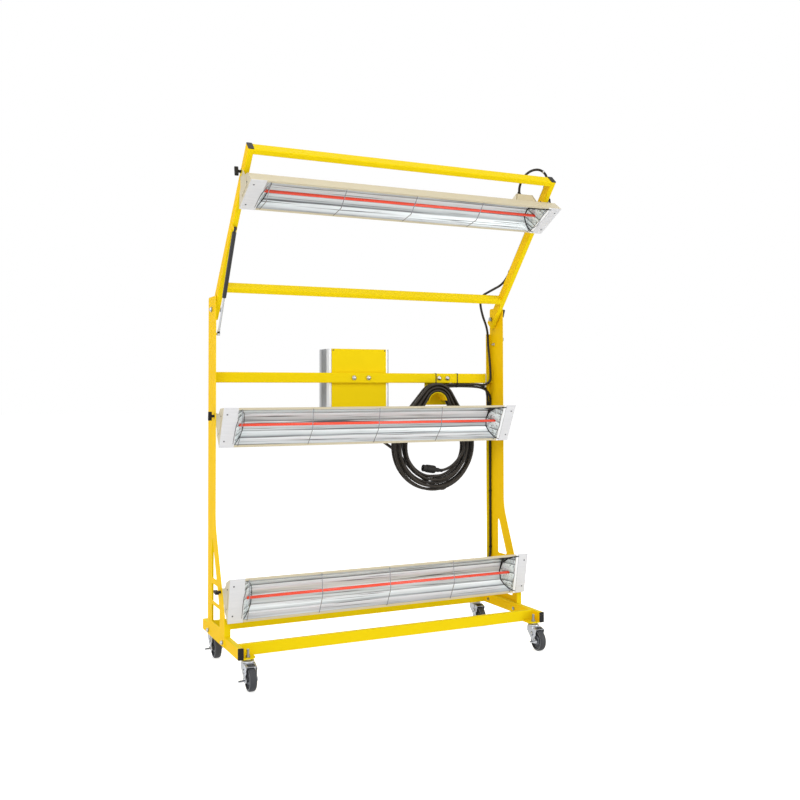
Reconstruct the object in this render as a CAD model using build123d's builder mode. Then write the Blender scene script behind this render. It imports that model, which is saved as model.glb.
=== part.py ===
from build123d import *
import os
from math import asin, atan2, ceil, cos, pi, radians, sin, sqrt, tan

os.makedirs("parts", exist_ok=True)

# Infrared paint curing lamp on a wheeled stand.
# +Z is up, the front with the lamps faces -Y, and the control box faces +Y.
# The origin is on the floor under the middle of the object. Millimetres and degrees.

# Box tube, one section for the whole frame
tube_deep = 50.8
tube_thin = 25.4
tube_wall = 2.0
tube_round = 4.0
cap_flange = 3.0
cap_plug = 15.0

# Clearances
running_gap = 0.05
seat_gap = 0.3
bolt_gap = 0.25
overrun = 1.0

# How far a stud, shank or neck runs into the piece that carries it
rooted = 1.0

# Base frame
frame_wide = 1548.0
leg_long = 635.0
leg_under = 128.0
leg_ahead = 459.0
front_bar_inset = 64.0
rear_bar_inset = 50.0
stem_plate_wide = 58.0
stem_plate_thick = 5.0
stem_plate_round = 30.0
stem_inset = 21.0
stem_from_leg = 24.0

# Side panels, bent from sheet
sheet = 3.0
sheet_bend = 2.5
pivot_high = 1667.0
panel_above = 61.0
panel_ahead = 71.0
panel_behind = 68.0
panel_corner = 12.0
flange_wide = 28.0
flange_top = 1590.0
brace_start = 665.0
brace_end = 272.0
brace_round = 250.0
foot_ahead = 243.0
foot_strip = 86.0
foot_flange_top = 236.0
rear_strip = 77.0
brace_strip = 80.0
window_round = 8.0
window_tops = [590.0, 384.0, 287.0]
window_bottoms = [410.0, 304.0, 205.0]
panel_overlap = 47.0

# Middle crossbar
bar_under = 1322.0

# Swing frame
swing_rest = 41.7
arm_above = 870.0
arm_below = 42.0
low_bar_along = 131.0
washer = 3.0
pivot_bolt_r = 6.0
washer_r = 14.0

# Gas strut
strut_arm_along = 480.0
strut_arm_offset = 39.0
strut_stud_ahead = 59.0
strut_stud_high = 1548.0
strut_inboard = 13.0
strut_stud_r = 4.0
strut_eye_r = 8.0
strut_eye_wide = 13.0
strut_neck = 18.0
strut_tube_r = 9.5
strut_tube_long = 327.0
strut_rod_r = 5.0
strut_rod_guide = 85.0
strut_bore_deep = 250.0
strut_socket_long = 26.0
strut_socket_r = 6.0

# Lamp fixtures: height of the face, depth, and how far the tilt axis lies behind the face
face_tall = 206.0
fixture_deep = 76.0
shoulder_deep = 60.0
shoulder_in = 34.0
back_flat_wide = 76.0
tilt_axis_behind = 120.0
housing_sheet = 1.5
lip = 12.0
end_plate_wide = 69.0
end_plate_thick = 1.5
ear_thick = 3.0
ear_root_wide = 84.0
ear_root_low = 18.0
ear_round = 16.0
ear_nut_r = 8.5
ear_nut_long = 7.0
junction_middle = 631.0
junction_base = 129.0
junction_top = 95.0
junction_tall = 46.0
junction_gland_r = 11.0
junction_gland_long = 16.0
reflector_sheet = 0.8
reflector_half = 701.0
reflector_rake = 50.0
reflector_deep = 62.0
reflector_step_shares = [
    (0.0, 0.0),
    (0.115, 0.55),
    (0.25, 0.87),
    (0.5, 1.0),
    (0.75, 0.87),
    (0.885, 0.55),
    (1.0, 0.0),
]
lamp_r = 5.5
lamp_back = 27.0
lamp_half = 716.0
lamp_hole_r = 7.5
holder_r = 9.0
holder_grip = 15.0
guard_r = 1.75
guard_proud = 31.0
guard_bow = 40.0
guard_hook = 5.0
guard_from_edge = 9.0
guard_pitch = 342.0
guards_each_side = 2

# Tilt and place of each fixture: degrees from upright, ahead of the swing axis, height
middle_tilt = 26.0
middle_ahead = 52.0
middle_high = 1164.0
bottom_tilt = 11.0
bottom_ahead = 178.5
bottom_high = 370.5
top_tilt = 63.4
top_along = 743.0

# T-knobs
stud_r = 4.0
knob_stem_r = 6.5
knob_stem = 13.0
knob_bar_long = 42.0
knob_bar_wide = 13.0
knob_bar_thick = 15.5
knob_round = 2.0

# Casters
wheel_r = 50.8
tread_wide = 32.0
tread_round = 9.0
tread_thick = 12.0
web_wide = 14.0
hub_r = 13.0
hub_wide = 48.0
caster_trail = 45.0
fork_wide = 54.0
fork_sheet = 2.5
fork_top = 113.0
fork_top_long = 46.0
fork_cheek_tall = 22.0
race_r = 27.0
race_tall = 8.0
neck_r = 16.0
stem_r = 6.0
stem_above = 35.0
stem_head_r = 10.0
stem_head = 5.0
stem_nut_r = 11.0
stem_collar_r = 9.0
axle_r = 4.0
axle_boss_r = 13.0
axle_head = 4.0
brake_sheet = 2.5
brake_reach = 22.0
brake_round = 9.0
pedal_long = 18.0
pedal_wide = 32.0

# Control box
box_wide = 300.0
box_tall = 314.0
box_under = 1182.0
box_deep = 150.0
box_wall = 5.0
cover = 3.0
fin_out = 14.0
fin_thick = 3.0
fin_strip = 29.0
fin_pitch = 8.4
fins_a_side = 11
keypad_wide = 111.0
keypad_tall = 183.0
keypad_thick = 1.5
keypad_round = 6.0
keypad_middle = -3.0
keypad_high = 1339.0
display_wide = 30.0
display_tall = 13.0
display_high = 1414.7
display_proud = 0.6
button_r = 6.5
button_proud = 3.0
button_travel = 1.5
button_flange = 2.0
button_high = 1303.0
button_places = {"mode_button": 36.0, "start_button": -13.0, "stop_button": -38.0}
board_thick = 2.0
board_behind_cover = 22.0
board_margin = 14.0
spacer_r = 4.0
module_wide = 60.0
module_tall = 80.0
module_deep = 32.0
gland_r = 14.0
gland_hex = 11.0
gland_dome_r = 10.0
gland_dome = 11.0
gland_first = -22.0
gland_pitch = 36.0
gland_count = 4
gland_behind = 176.0

# Cable hanger
hanger_wide = 149.0
hanger_middle = 447.5
hanger_under = 1206.0
saddle_middle = 412.0
saddle_high = 1219.0
saddle_r = 54.5
saddle_sheet = 3.0
saddle_long = 82.0
saddle_half_turn = 78.0

# Cables: a run's share taken by the arc at each of its ends, the glands' ends, and the routes.
# A route's places are across, behind the swing axis and up.
run_share = 0.45
fixture_cable_r = 5.25
supply_cable_r = 7.5
supply_lead_route = [
    (86.0, 176.0, 1110.0),
    (98.0, 130.0, 1062.0),
    (133.0, 82.0, 1020.0),
    (190.0, 57.0, 978.0),
    (240.0, 51.0, 925.0),
    (283.0, 49.0, 872.0),
    (340.0, 49.0, 830.0),
    (398.0, 49.0, 790.0),
    (458.4, 49.0, 755.4),
    (492.7, 49.0, 767.8),
    (502.7, 49.0, 805.0),
    (479.2, 49.0, 833.0),
    (440.0, 33.0, 832.0),
]
top_lane_route = [
    (50.0, 176.0, 1112.0),
    (84.0, 128.0, 1082.0),
    (150.0, 78.0, 1085.0),
    (232.0, 60.0, 1110.0),
    (298.0, 50.0, 1176.4),
    (359.0, 47.0, 1292.1),
    (496.0, 47.5, 1316.0),
    (600.0, 47.0, 1315.7),
    (680.0, 46.0, 1315.5),
    (720.0, 34.0, 1310.0),
    (757.0, 31.0, 1330.0),
    (757.0, 32.0, 1385.0),
    (757.0, 44.0, 1470.0),
    (755.0, 55.0, 1530.0),
    (748.0, 44.0, 1585.0),
    (715.0, 2.0, 1630.0),
    (690.0, -21.8, 1654.4),
]
middle_lane_route = [
    (14.0, 176.0, 1098.0),
    (60.0, 118.0, 1066.0),
    (135.0, 84.0, 1058.0),
    (225.0, 72.0, 1090.0),
    (300.0, 61.0, 1168.0),
    (359.2, 58.7, 1292.1),
    (497.0, 58.7, 1316.0),
    (640.0, 58.4, 1315.6),
    (715.0, 59.0, 1313.0),
    (755.5, 59.5, 1285.0),
    (755.5, 59.5, 1155.0),
]
lower_lane_route = [
    (-22.0, 176.0, 1086.0),
    (38.0, 138.0, 1036.0),
    (125.0, 118.0, 1020.0),
    (222.0, 66.0, 1064.0),
    (303.5, 52.0, 1152.5),
    (365.7, 53.0, 1282.7),
    (499.5, 53.0, 1305.0),
    (640.0, 53.2, 1304.6),
    (712.0, 50.0, 1298.0),
    (750.0, 46.5, 1276.0),
    (767.5, 50.0, 1240.0),
    (767.5, 59.5, 1185.0),
    (767.5, 59.5, 430.0),
]
middle_lead_route = [
    (642.0, 17.0, 1182.0),
    (664.0, 37.0, 1158.0),
    (677.0, 45.0, 1110.0),
    (715.5, 53.0, 1087.0),
    (755.5, 59.5, 1110.0),
    (755.5, 59.5, 1155.0),
]
lower_lead_route = [
    (645.0, -74.0, 378.0),
    (672.0, -27.0, 362.0),
    (706.0, 17.0, 350.0),
    (740.0, 45.0, 352.0),
    (767.5, 59.5, 385.0),
    (767.5, 59.5, 430.0),
]
lead_from_gland = {"top": 38.0, "middle": 28.0, "bottom": 40.0}

# The top cable's places are across, up the arm from its pivot and behind the arm's middle
top_cable_route = [
    (645.0, 820.7, 83.0),
    (675.0, 861.5, 89.8),
    (715.0, 877.0, 84.0),
    (747.0, 864.0, 60.0),
    (758.0, 838.0, 31.6),
    (758.0, 262.0, 31.6),
    (745.0, 205.0, 34.0),
    (700.0, 165.0, 38.0),
    (646.0, 121.0, 35.5),
    (652.0, 80.0, 12.4),
]

# Coil of the supply cable: an egg of two arcs joined by slanting sides, four layers deep
coil_top = (412.0, 1219.0)
coil_bottom = (399.0, 994.0)
coil_top_r = 62.5
coil_bottom_r = 162.0
coil_top_pitch = 16.4
coil_bottom_pitch = 34.0
coil_layers = 4
coil_spiral_turns = 2
coil_layer_step = 15.6
coil_rear = 33.0
limb_foot_share = 0.55
limb_head_share = 0.88
coil_tail = 260.0
coil_tail_route = [
    (560.0, -13.8, 950.0),
    (525.0, -13.5, 912.0),
    (497.0, -6.0, 882.0),
    (452.0, 9.0, 859.4),
]
measure_step = 4.0

# Plug
plug_end = (425.4, 9.0, 863.6)
plug_lean = 9.0
plug_relief = 22.0
plug_relief_r = 11.5
plug_body = 48.0
plug_r = 20.0
plug_shroud = 23.0
plug_shroud_r = 18.0
plug_wall = 2.5
plug_pin_r = 2.5
plug_pin_circle_r = 8.0
plug_pins = 3
plug_rib = 3.0

# Lock lever
lever_out = 8.0
lever_ahead = 47.0
lever_pivot_high = 1552.0
lever_rod_r = 3.5
lever_rod_top = 1684.0
lever_grip_r = 8.0
lever_grip_long = 42.0
lever_grip_lean = 14.0
lever_tab = 4.0
lever_cheek = 2.0
lever_pin_r = 3.0

# Bolts
bolt_r = 4.0
bolt_head_r = 8.0
bolt_head = 5.5
leg_bolt_r = 5.0
leg_bolt_head_r = 9.0
pivot_head_r = 12.0
leg_bolt_places = [51.0, -212.0]
leg_bolt_high = 151.0
box_bolt_places = [-40.0, 40.0]
hanger_bolt_places = [446.0, 495.0]
end_bolt_place = 762.0

# Places worked out from the sizes above
half = frame_wide / 2
web_out = half + sheet
arm_out = half - washer
arm_in = arm_out - tube_thin
fixture_half = half - ear_thick
swing = radians(swing_rest)
leg_top = leg_under + tube_deep
bar_middle = bar_under + tube_deep / 2
down_top = (sin(radians(top_tilt)), -cos(radians(top_tilt)))
back_top = (cos(radians(top_tilt)), sin(radians(top_tilt)))
face_ahead = tilt_axis_behind + end_plate_thick
reach_front = top_along * sin(swing) + face_tall / 2 * down_top[0] + face_ahead * back_top[0]
bar_behind = panel_behind - sheet
reach_rear = bar_behind + box_deep + keypad_thick + button_proud
post_y = (reach_front - reach_rear) / 2
panel_front = post_y - panel_ahead
panel_rear = post_y + panel_behind
leg_front = post_y - leg_ahead
leg_rear = leg_front + leg_long
bar_rear = post_y + bar_behind
bar_front = bar_rear - tube_thin
front_bar_face = leg_front + front_bar_inset
rear_bar_back = leg_rear - rear_bar_inset
stem_x = half - tube_thin - stem_from_leg
stem_ys = [leg_front + stem_inset, leg_rear - stem_inset]
swing_axis = (post_y, pivot_high)
up_arm = (-sin(swing), cos(swing))
behind_arm = (cos(swing), sin(swing))
top_axis = (post_y + top_along * up_arm[0], pivot_high + top_along * up_arm[1])
middle_axis = (post_y - middle_ahead, middle_high)
bottom_axis = (post_y - bottom_ahead, bottom_high)
fixtures = {
    "top": (top_axis, top_tilt),
    "middle": (middle_axis, middle_tilt),
    "bottom": (bottom_axis, bottom_tilt),
}
sides = {"left": -1, "right": 1}


def keep(piece, node):
    """Name a finished piece and write it."""
    piece.part.label = node
    export_step(piece.part, f"parts/{node}.step")


def side_plane(x):
    """Upright plane seen from the right: local x is the object's Y, local y is its Z."""
    return Plane(origin=(x, 0, 0), x_dir=(0, 1, 0), z_dir=(1, 0, 0))


def front_plane(y):
    """Upright plane seen from the front: local x is the object's X, local y is its Z."""
    return Plane(origin=(0, y, 0), x_dir=(1, 0, 0), z_dir=(0, -1, 0))


def level_plane(z):
    """Level plane: local x is the object's X, local y is its Y."""
    return Plane.XY.offset(z)


def arm_plane(x, along=0.0):
    """Plane across an arm, square to it: local x is the object's X, local y runs behind the arm."""
    y = post_y + along * up_arm[0]
    z = pivot_high + along * up_arm[1]
    return Plane(origin=(x, y, z), x_dir=(1, 0, 0), z_dir=(0, *up_arm))


def arm_side(x):
    """Upright plane along an arm: local x runs up the arm, local y runs in front of it."""
    return Plane(origin=(x, *swing_axis), x_dir=(0, *up_arm), z_dir=(1, 0, 0))


def fixture_side(axis, tilt, x):
    """Upright plane across a fixture: local x runs down its face, local y runs back from it."""
    down = Vector(0, sin(radians(tilt)), -cos(radians(tilt)))
    back = Vector(0, cos(radians(tilt)), sin(radians(tilt)))
    corner = Vector(x, *axis) - down * (face_tall / 2) - back * tilt_axis_behind
    return Plane(origin=corner, x_dir=down, z_dir=(1, 0, 0))


def fixture_back(axis, tilt):
    """Plane along a fixture's middle: local x is the object's X, local y runs back from the face."""
    side = fixture_side(axis, tilt, 0)
    return Plane(origin=side.from_local_coords((face_tall / 2, 0, 0)), x_dir=(1, 0, 0), z_dir=-side.x_dir)


def tube(plane, length):
    """Hollow box tube standing on a plane, its thin side along the plane's x."""
    with BuildSketch(plane) as section:
        RectangleRounded(tube_thin, tube_deep, tube_round)
        bore_round = tube_round - tube_wall
        RectangleRounded(tube_thin - 2 * tube_wall, tube_deep - 2 * tube_wall, bore_round, mode=Mode.SUBTRACT)
    extrude(section.sketch, amount=length)


def tube_cap(plane):
    """Plastic end cap: a flange on the tube's end and a plug inside it."""
    with BuildSketch(plane) as flange:
        RectangleRounded(tube_thin, tube_deep, tube_round)
    extrude(flange.sketch, amount=cap_flange)
    with BuildSketch(plane) as plug:
        inside = 2 * (tube_wall + running_gap)
        RectangleRounded(tube_thin - inside, tube_deep - inside, tube_round - tube_wall)
    extrude(plug.sketch, amount=-cap_plug)


def rod(plane, place, radius, length, mode=Mode.ADD):
    """Round bar, or a round hole, from a plane."""
    with BuildSketch(plane) as disc:
        with Locations(place):
            Circle(radius)
    extrude(disc.sketch, amount=length, mode=mode)


def slab(plane, place, wide, tall, thick, mode=Mode.ADD):
    """Flat block centred on a place of a plane."""
    with BuildSketch(plane) as face:
        with Locations(place):
            Rectangle(wide, tall)
    extrude(face.sketch, amount=thick, mode=mode)


def round_edges(radius):
    """Round edges of one radius, on the piece being made."""
    return edges().filter_by(GeomType.CIRCLE).filter_by(lambda edge: abs(edge.radius - radius) < running_gap)


def hex_head(plane, place, radius, tall):
    """Hexagon head or nut."""
    with BuildSketch(plane) as face:
        with Locations(place):
            RegularPolygon(radius, 6)
    extrude(face.sketch, amount=tall)


def cord_route(points):
    """Straight runs joined by tangent arcs, each as large as its two runs allow; returns the radii."""
    places = [Vector(*point) for point in points]
    radii = []
    start = places[0]
    for before, here, after in zip(places, places[1:], places[2:]):
        back = (before - here).normalized()
        ahead = (after - here).normalized()
        reach = run_share * min((before - here).length, (after - here).length)
        half_turn = radians(180 - back.get_angle(ahead)) / 2
        first = here + back * reach
        last = here + ahead * reach
        chord = (first + last) * 0.5
        rise = (here - chord).normalized() * ((last - first).length / 2 * tan(half_turn / 2))
        Line(start, first)
        ThreePointArc(first, chord + rise, last)
        radii.append(reach / tan(half_turn))
        start = last
    Line(start, places[-1])
    return radii


def cord(points, radius):
    """Round cord along a route of straight runs and arcs; returns its length."""
    with BuildLine() as route:
        radii = cord_route(points)
    path = route.wires()[0]
    with BuildSketch(Plane(origin=path @ 0, z_dir=path % 0)) as section:
        Circle(radius)
    sweep(section.sketch, path=path)
    print(f"cord of {path.length:.0f}, least radius {min(radii):.0f}")
    return path.length * pi * radius**2


def biarc(start, start_way, end, end_way):
    """Two tangent arcs from one place and direction to another; returns the radii."""
    span = end - start
    square = 2 * (1 - start_way.dot(end_way))
    line = 2 * span.dot(start_way + end_way)
    reach = (sqrt(line**2 + 4 * square * span.dot(span)) - line) / (2 * square)
    near = start + start_way * reach
    far = end - end_way * reach
    join = (near + far) * 0.5
    radii = []
    for first, corner, last in ((start, near, join), (join, far, end)):
        chord = (first + last) * 0.5
        half_chord = (last - first).length / 2
        half_turn = atan2((corner - chord).length, half_chord)
        ThreePointArc(first, chord + (corner - chord).normalized() * (half_chord * tan(half_turn / 2)), last)
        radii.append(half_chord / sin(half_turn))
    return radii


def least_gap(path, radius, step, apart):
    """Smallest gap that a wound cord leaves to itself, measured between points along it."""
    cells = {}
    along = 0.0
    least = path.length
    for edge in path.edges():
        count = ceil(edge.length / step)
        for index in range(count):
            spot = edge @ (index / count)
            here = along + edge.length * index / count
            cell = tuple(int(value // (4 * radius)) for value in spot)
            for dx in (-1, 0, 1):
                for dy in (-1, 0, 1):
                    for dz in (-1, 0, 1):
                        for other, there in cells.get((cell[0] + dx, cell[1] + dy, cell[2] + dz), []):
                            if here - there > apart:
                                least = min(least, (spot - other).length)
            cells.setdefault(cell, []).append((spot, here))
        along += edge.length
    return least - 2 * radius


# Base frame
with BuildPart() as base_legs:
    for side in sides.values():
        leg_x = side * (half - tube_thin / 2)
        leg_start = (leg_x, leg_front + cap_flange, leg_under + tube_deep / 2)
        tube(Plane(origin=leg_start, x_dir=(1, 0, 0), z_dir=(0, 1, 0)), leg_long - 2 * cap_flange)
        for place in leg_bolt_places:
            across = side_plane(side * (half + overrun))
            through = -side * (tube_thin + 2 * overrun)
            rod(across, (post_y + place, leg_bolt_high), leg_bolt_r + bolt_gap, through, Mode.SUBTRACT)
keep(base_legs, "base_legs")

bar_half = half - tube_thin
with BuildPart() as base_crossbars:
    for face_y in (front_bar_face, rear_bar_back - tube_thin):
        start = (-bar_half, face_y + tube_thin / 2, leg_under + tube_deep / 2)
        tube(Plane(origin=start, x_dir=(0, 1, 0), z_dir=(1, 0, 0)), 2 * bar_half)
    for side in sides.values():
        for end_y, bar_y, way in ((leg_front, front_bar_face, -1), (leg_rear, rear_bar_back, 1)):
            free_x = side * (bar_half - stem_plate_wide)
            with BuildSketch(level_plane(leg_under)) as corner_plate:
                with BuildLine():
                    FilletPolyline(
                        (side * bar_half, bar_y),
                        (side * bar_half, end_y),
                        (free_x, end_y),
                        (free_x, bar_y),
                        radius=[0, 0, stem_plate_round, 0],
                        close=True,
                    )
                make_face()
                with Locations((side * stem_x, end_y - way * stem_inset)):
                    Circle(stem_r + bolt_gap, mode=Mode.SUBTRACT)
            extrude(corner_plate.sketch, amount=stem_plate_thick)
keep(base_crossbars, "base_crossbars")

with BuildPart() as leg_end_caps:
    for side in sides.values():
        for end_y, way in ((leg_front + cap_flange, -1), (leg_rear - cap_flange, 1)):
            start = (side * (half - tube_thin / 2), end_y, leg_under + tube_deep / 2)
            tube_cap(Plane(origin=start, x_dir=(1, 0, 0), z_dir=(0, way, 0)))
keep(leg_end_caps, "leg_end_caps")


def brace_y(z, inset):
    """Place of the slanting brace's front edge, moved back by an inset, at a height."""
    slope = (foot_ahead - panel_ahead) / (brace_start - brace_end)
    return panel_front - slope * (brace_start - z) + inset


def side_panel(side):
    """Bent sheet upright with a forked foot, as one web with two flanges."""
    low = leg_top - panel_overlap
    foot_front = post_y - foot_ahead
    strip_front = panel_rear - rear_strip
    holes = [
        (*swing_axis, pivot_bolt_r + bolt_gap),
        (*middle_axis, stud_r + running_gap),
        (*bottom_axis, stud_r + running_gap),
    ]
    holes += [(post_y + place, leg_bolt_high, leg_bolt_r + bolt_gap) for place in leg_bolt_places]
    with BuildSketch(side_plane(side * half)) as web:
        with BuildLine():
            FilletPolyline(
                (panel_rear, low),
                (panel_rear, pivot_high + panel_above),
                (panel_front, pivot_high + panel_above),
                (panel_front, brace_start),
                (foot_front, brace_end),
                (foot_front, low),
                radius=[0, panel_corner, panel_corner, brace_round, panel_corner, 0],
                close=True,
            )
        make_face()
        for top, bottom in zip(window_tops, window_bottoms):
            top_y = min(brace_y(top, brace_strip), strip_front - window_round)
            front_top = max(top_y, foot_front + foot_strip)
            front_bottom = max(brace_y(bottom, brace_strip), foot_front + foot_strip)
            with BuildLine():
                FilletPolyline(
                    (strip_front, bottom),
                    (strip_front, top),
                    (front_top, top),
                    (front_bottom, bottom),
                    radius=[window_round, 0 if top == window_tops[0] else window_round, 0, window_round],
                    close=True,
                )
            make_face(mode=Mode.SUBTRACT)
        for y, z, r in holes:
            with Locations((y, z)):
                Circle(r, mode=Mode.SUBTRACT)
    extrude(web.sketch, amount=side * sheet)
    flange_x = side * (web_out - flange_wide / 2)
    flange_foot = level_plane(leg_top)
    slab(flange_foot, (flange_x, panel_rear - sheet / 2), flange_wide, sheet, flange_top - leg_top)
    slab(flange_foot, (flange_x, foot_front + sheet / 2), flange_wide, sheet, foot_flange_top - leg_top)
    bends = [
        edge
        for edge in edges().filter_by(Axis.Z)
        if abs(abs(edge.center().X) - web_out) < running_gap
        and min(abs(edge.center().Y - panel_rear), abs(edge.center().Y - foot_front)) < running_gap
    ]
    fillet(bends, radius=sheet_bend)
    end_bolt = front_plane(panel_rear + overrun)
    rod(end_bolt, (side * end_bolt_place, bar_middle), bolt_r + bolt_gap, sheet + 2 * overrun, Mode.SUBTRACT)


with BuildPart() as upright_left:
    side_panel(-1)
    stud_place = (post_y - strut_stud_ahead, strut_stud_high)
    rod(side_plane(-half), stud_place, strut_stud_r, strut_inboard - strut_eye_wide / 2 - seat_gap)
keep(upright_left, "upright_left")

lever_y = post_y - lever_ahead
lever_x = web_out + lever_out
with BuildPart() as upright_right:
    side_panel(1)
    tab_plane = front_plane(lever_y + lever_tab / 2)
    tab_reach = lever_out + 2 * lever_pin_r
    slab(tab_plane, (web_out + tab_reach / 2, lever_pivot_high), tab_reach, 4 * lever_pin_r, lever_tab)
    pin_half = lever_tab / 2 + lever_cheek + running_gap
    rod(front_plane(lever_y + pin_half), (lever_x, lever_pivot_high), lever_pin_r, 2 * pin_half)
keep(upright_right, "upright_right")

with BuildPart() as middle_crossbar:
    bar_start = (-half, bar_front + tube_thin / 2, bar_middle)
    tube(Plane(origin=bar_start, x_dir=(0, 1, 0), z_dir=(1, 0, 0)), frame_wide)
    for place in box_bolt_places + hanger_bolt_places:
        hole = front_plane(bar_rear + overrun)
        rod(hole, (place, bar_middle), bolt_r + bolt_gap, tube_thin + 2 * overrun, Mode.SUBTRACT)
    for side in sides.values():
        hole = front_plane(bar_rear + overrun)
        through = tube_wall + 2 * overrun
        rod(hole, (side * end_bolt_place, bar_middle), bolt_r + bolt_gap, through, Mode.SUBTRACT)
keep(middle_crossbar, "middle_crossbar")

# Swing frame
with BuildPart() as swing_frame:
    for side in sides.values():
        arm_x = side * (arm_out - tube_thin / 2)
        tube(arm_plane(arm_x, -arm_below), arm_above - cap_flange + arm_below)
        hole = side_plane(side * (arm_out + overrun))
        through = -side * (tube_thin + 2 * overrun)
        rod(hole, swing_axis, pivot_bolt_r + running_gap, through, Mode.SUBTRACT)
        rod(hole, top_axis, stud_r + running_gap, through, Mode.SUBTRACT)
    for along in (low_bar_along, arm_above - cap_flange - tube_thin / 2):
        centre = arm_plane(-arm_in, along)
        tube(Plane(origin=centre.origin, x_dir=(0, *up_arm), z_dir=(1, 0, 0)), 2 * arm_in)
    tab_side = arm_side(-arm_out)
    tab_start = tube_deep / 2 - tube_round
    tab_deep = strut_arm_offset + strut_eye_r - tab_start
    slab(tab_side, (strut_arm_along, tab_start + tab_deep / 2), 2 * strut_eye_r, tab_deep, sheet)
    stud_long = arm_out - half + strut_inboard + strut_eye_wide / 2 + running_gap
    rod(tab_side, (strut_arm_along, strut_arm_offset), strut_stud_r, stud_long)
keep(swing_frame, "swing_frame")

with BuildPart() as arm_end_caps:
    for side in sides.values():
        tube_cap(arm_plane(side * (arm_out - tube_thin / 2), arm_above - cap_flange))
keep(arm_end_caps, "arm_end_caps")

# Gas strut: the cylinder hangs on the arm's stud, the rod's socket lies against the side panel's stud
strut_x = -half + strut_inboard
strut_top = Vector(
    strut_x,
    post_y + strut_arm_along * up_arm[0] - strut_arm_offset * behind_arm[0],
    pivot_high + strut_arm_along * up_arm[1] - strut_arm_offset * behind_arm[1],
)
strut_foot = Vector(strut_x, post_y - strut_stud_ahead, strut_stud_high)
strut_span = (strut_foot - strut_top).length
strut_way = (strut_foot - strut_top).normalized()
strut_start = Plane(origin=strut_top, x_dir=(1, 0, 0), z_dir=strut_way)
strut_end = Plane(origin=strut_foot, x_dir=(1, 0, 0), z_dir=-strut_way)

with BuildPart() as strut_cylinder:
    rod(side_plane(strut_x - strut_eye_wide / 2), (strut_top.Y, strut_top.Z), strut_eye_r, strut_eye_wide)
    rod(strut_start, (0, 0), strut_rod_r, strut_neck + rooted)
    with BuildSketch(strut_start.offset(strut_neck)) as barrel:
        Circle(strut_tube_r)
    extrude(barrel.sketch, amount=strut_tube_long)
    fillet(round_edges(strut_tube_r), radius=strut_tube_r / 4)
    eye_side = side_plane(strut_x - strut_eye_wide / 2 - overrun)
    through = strut_eye_wide + 2 * overrun
    rod(eye_side, (strut_top.Y, strut_top.Z), strut_stud_r + running_gap, through, Mode.SUBTRACT)
    bore_mouth = strut_start.offset(strut_neck + strut_tube_long + overrun)
    rod(bore_mouth, (0, 0), strut_rod_r + running_gap, -strut_bore_deep, Mode.SUBTRACT)
keep(strut_cylinder, "strut_cylinder")

rod_shown = strut_span - strut_neck - strut_tube_long
with BuildPart() as strut_rod:
    rod(side_plane(strut_x - strut_eye_wide / 2), (strut_foot.Y, strut_foot.Z), strut_eye_r, strut_eye_wide)
    rod(strut_end, (0, 0), strut_rod_r, rod_shown + strut_rod_guide)
    rod(strut_end, (0, 0), strut_socket_r, strut_socket_long)
keep(strut_rod, "strut_rod")


# Lamp fixtures
def housing_outline():
    """Section of the housing: an open mouth at the front and a flat back between two shoulders."""
    back_start = (face_tall - back_flat_wide) / 2
    return [
        (0, 0),
        (shoulder_in, shoulder_deep),
        (back_start, fixture_deep),
        (face_tall - back_start, fixture_deep),
        (face_tall - shoulder_in, shoulder_deep),
        (face_tall, 0),
    ]


def reflector_outline():
    """Faceted section of the reflector, from one lip of the mouth to the other."""
    wide = face_tall - 2 * lip
    start = housing_sheet
    return [(lip + wide * d, start + (reflector_deep - start) * n) for d, n in reflector_step_shares]


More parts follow.
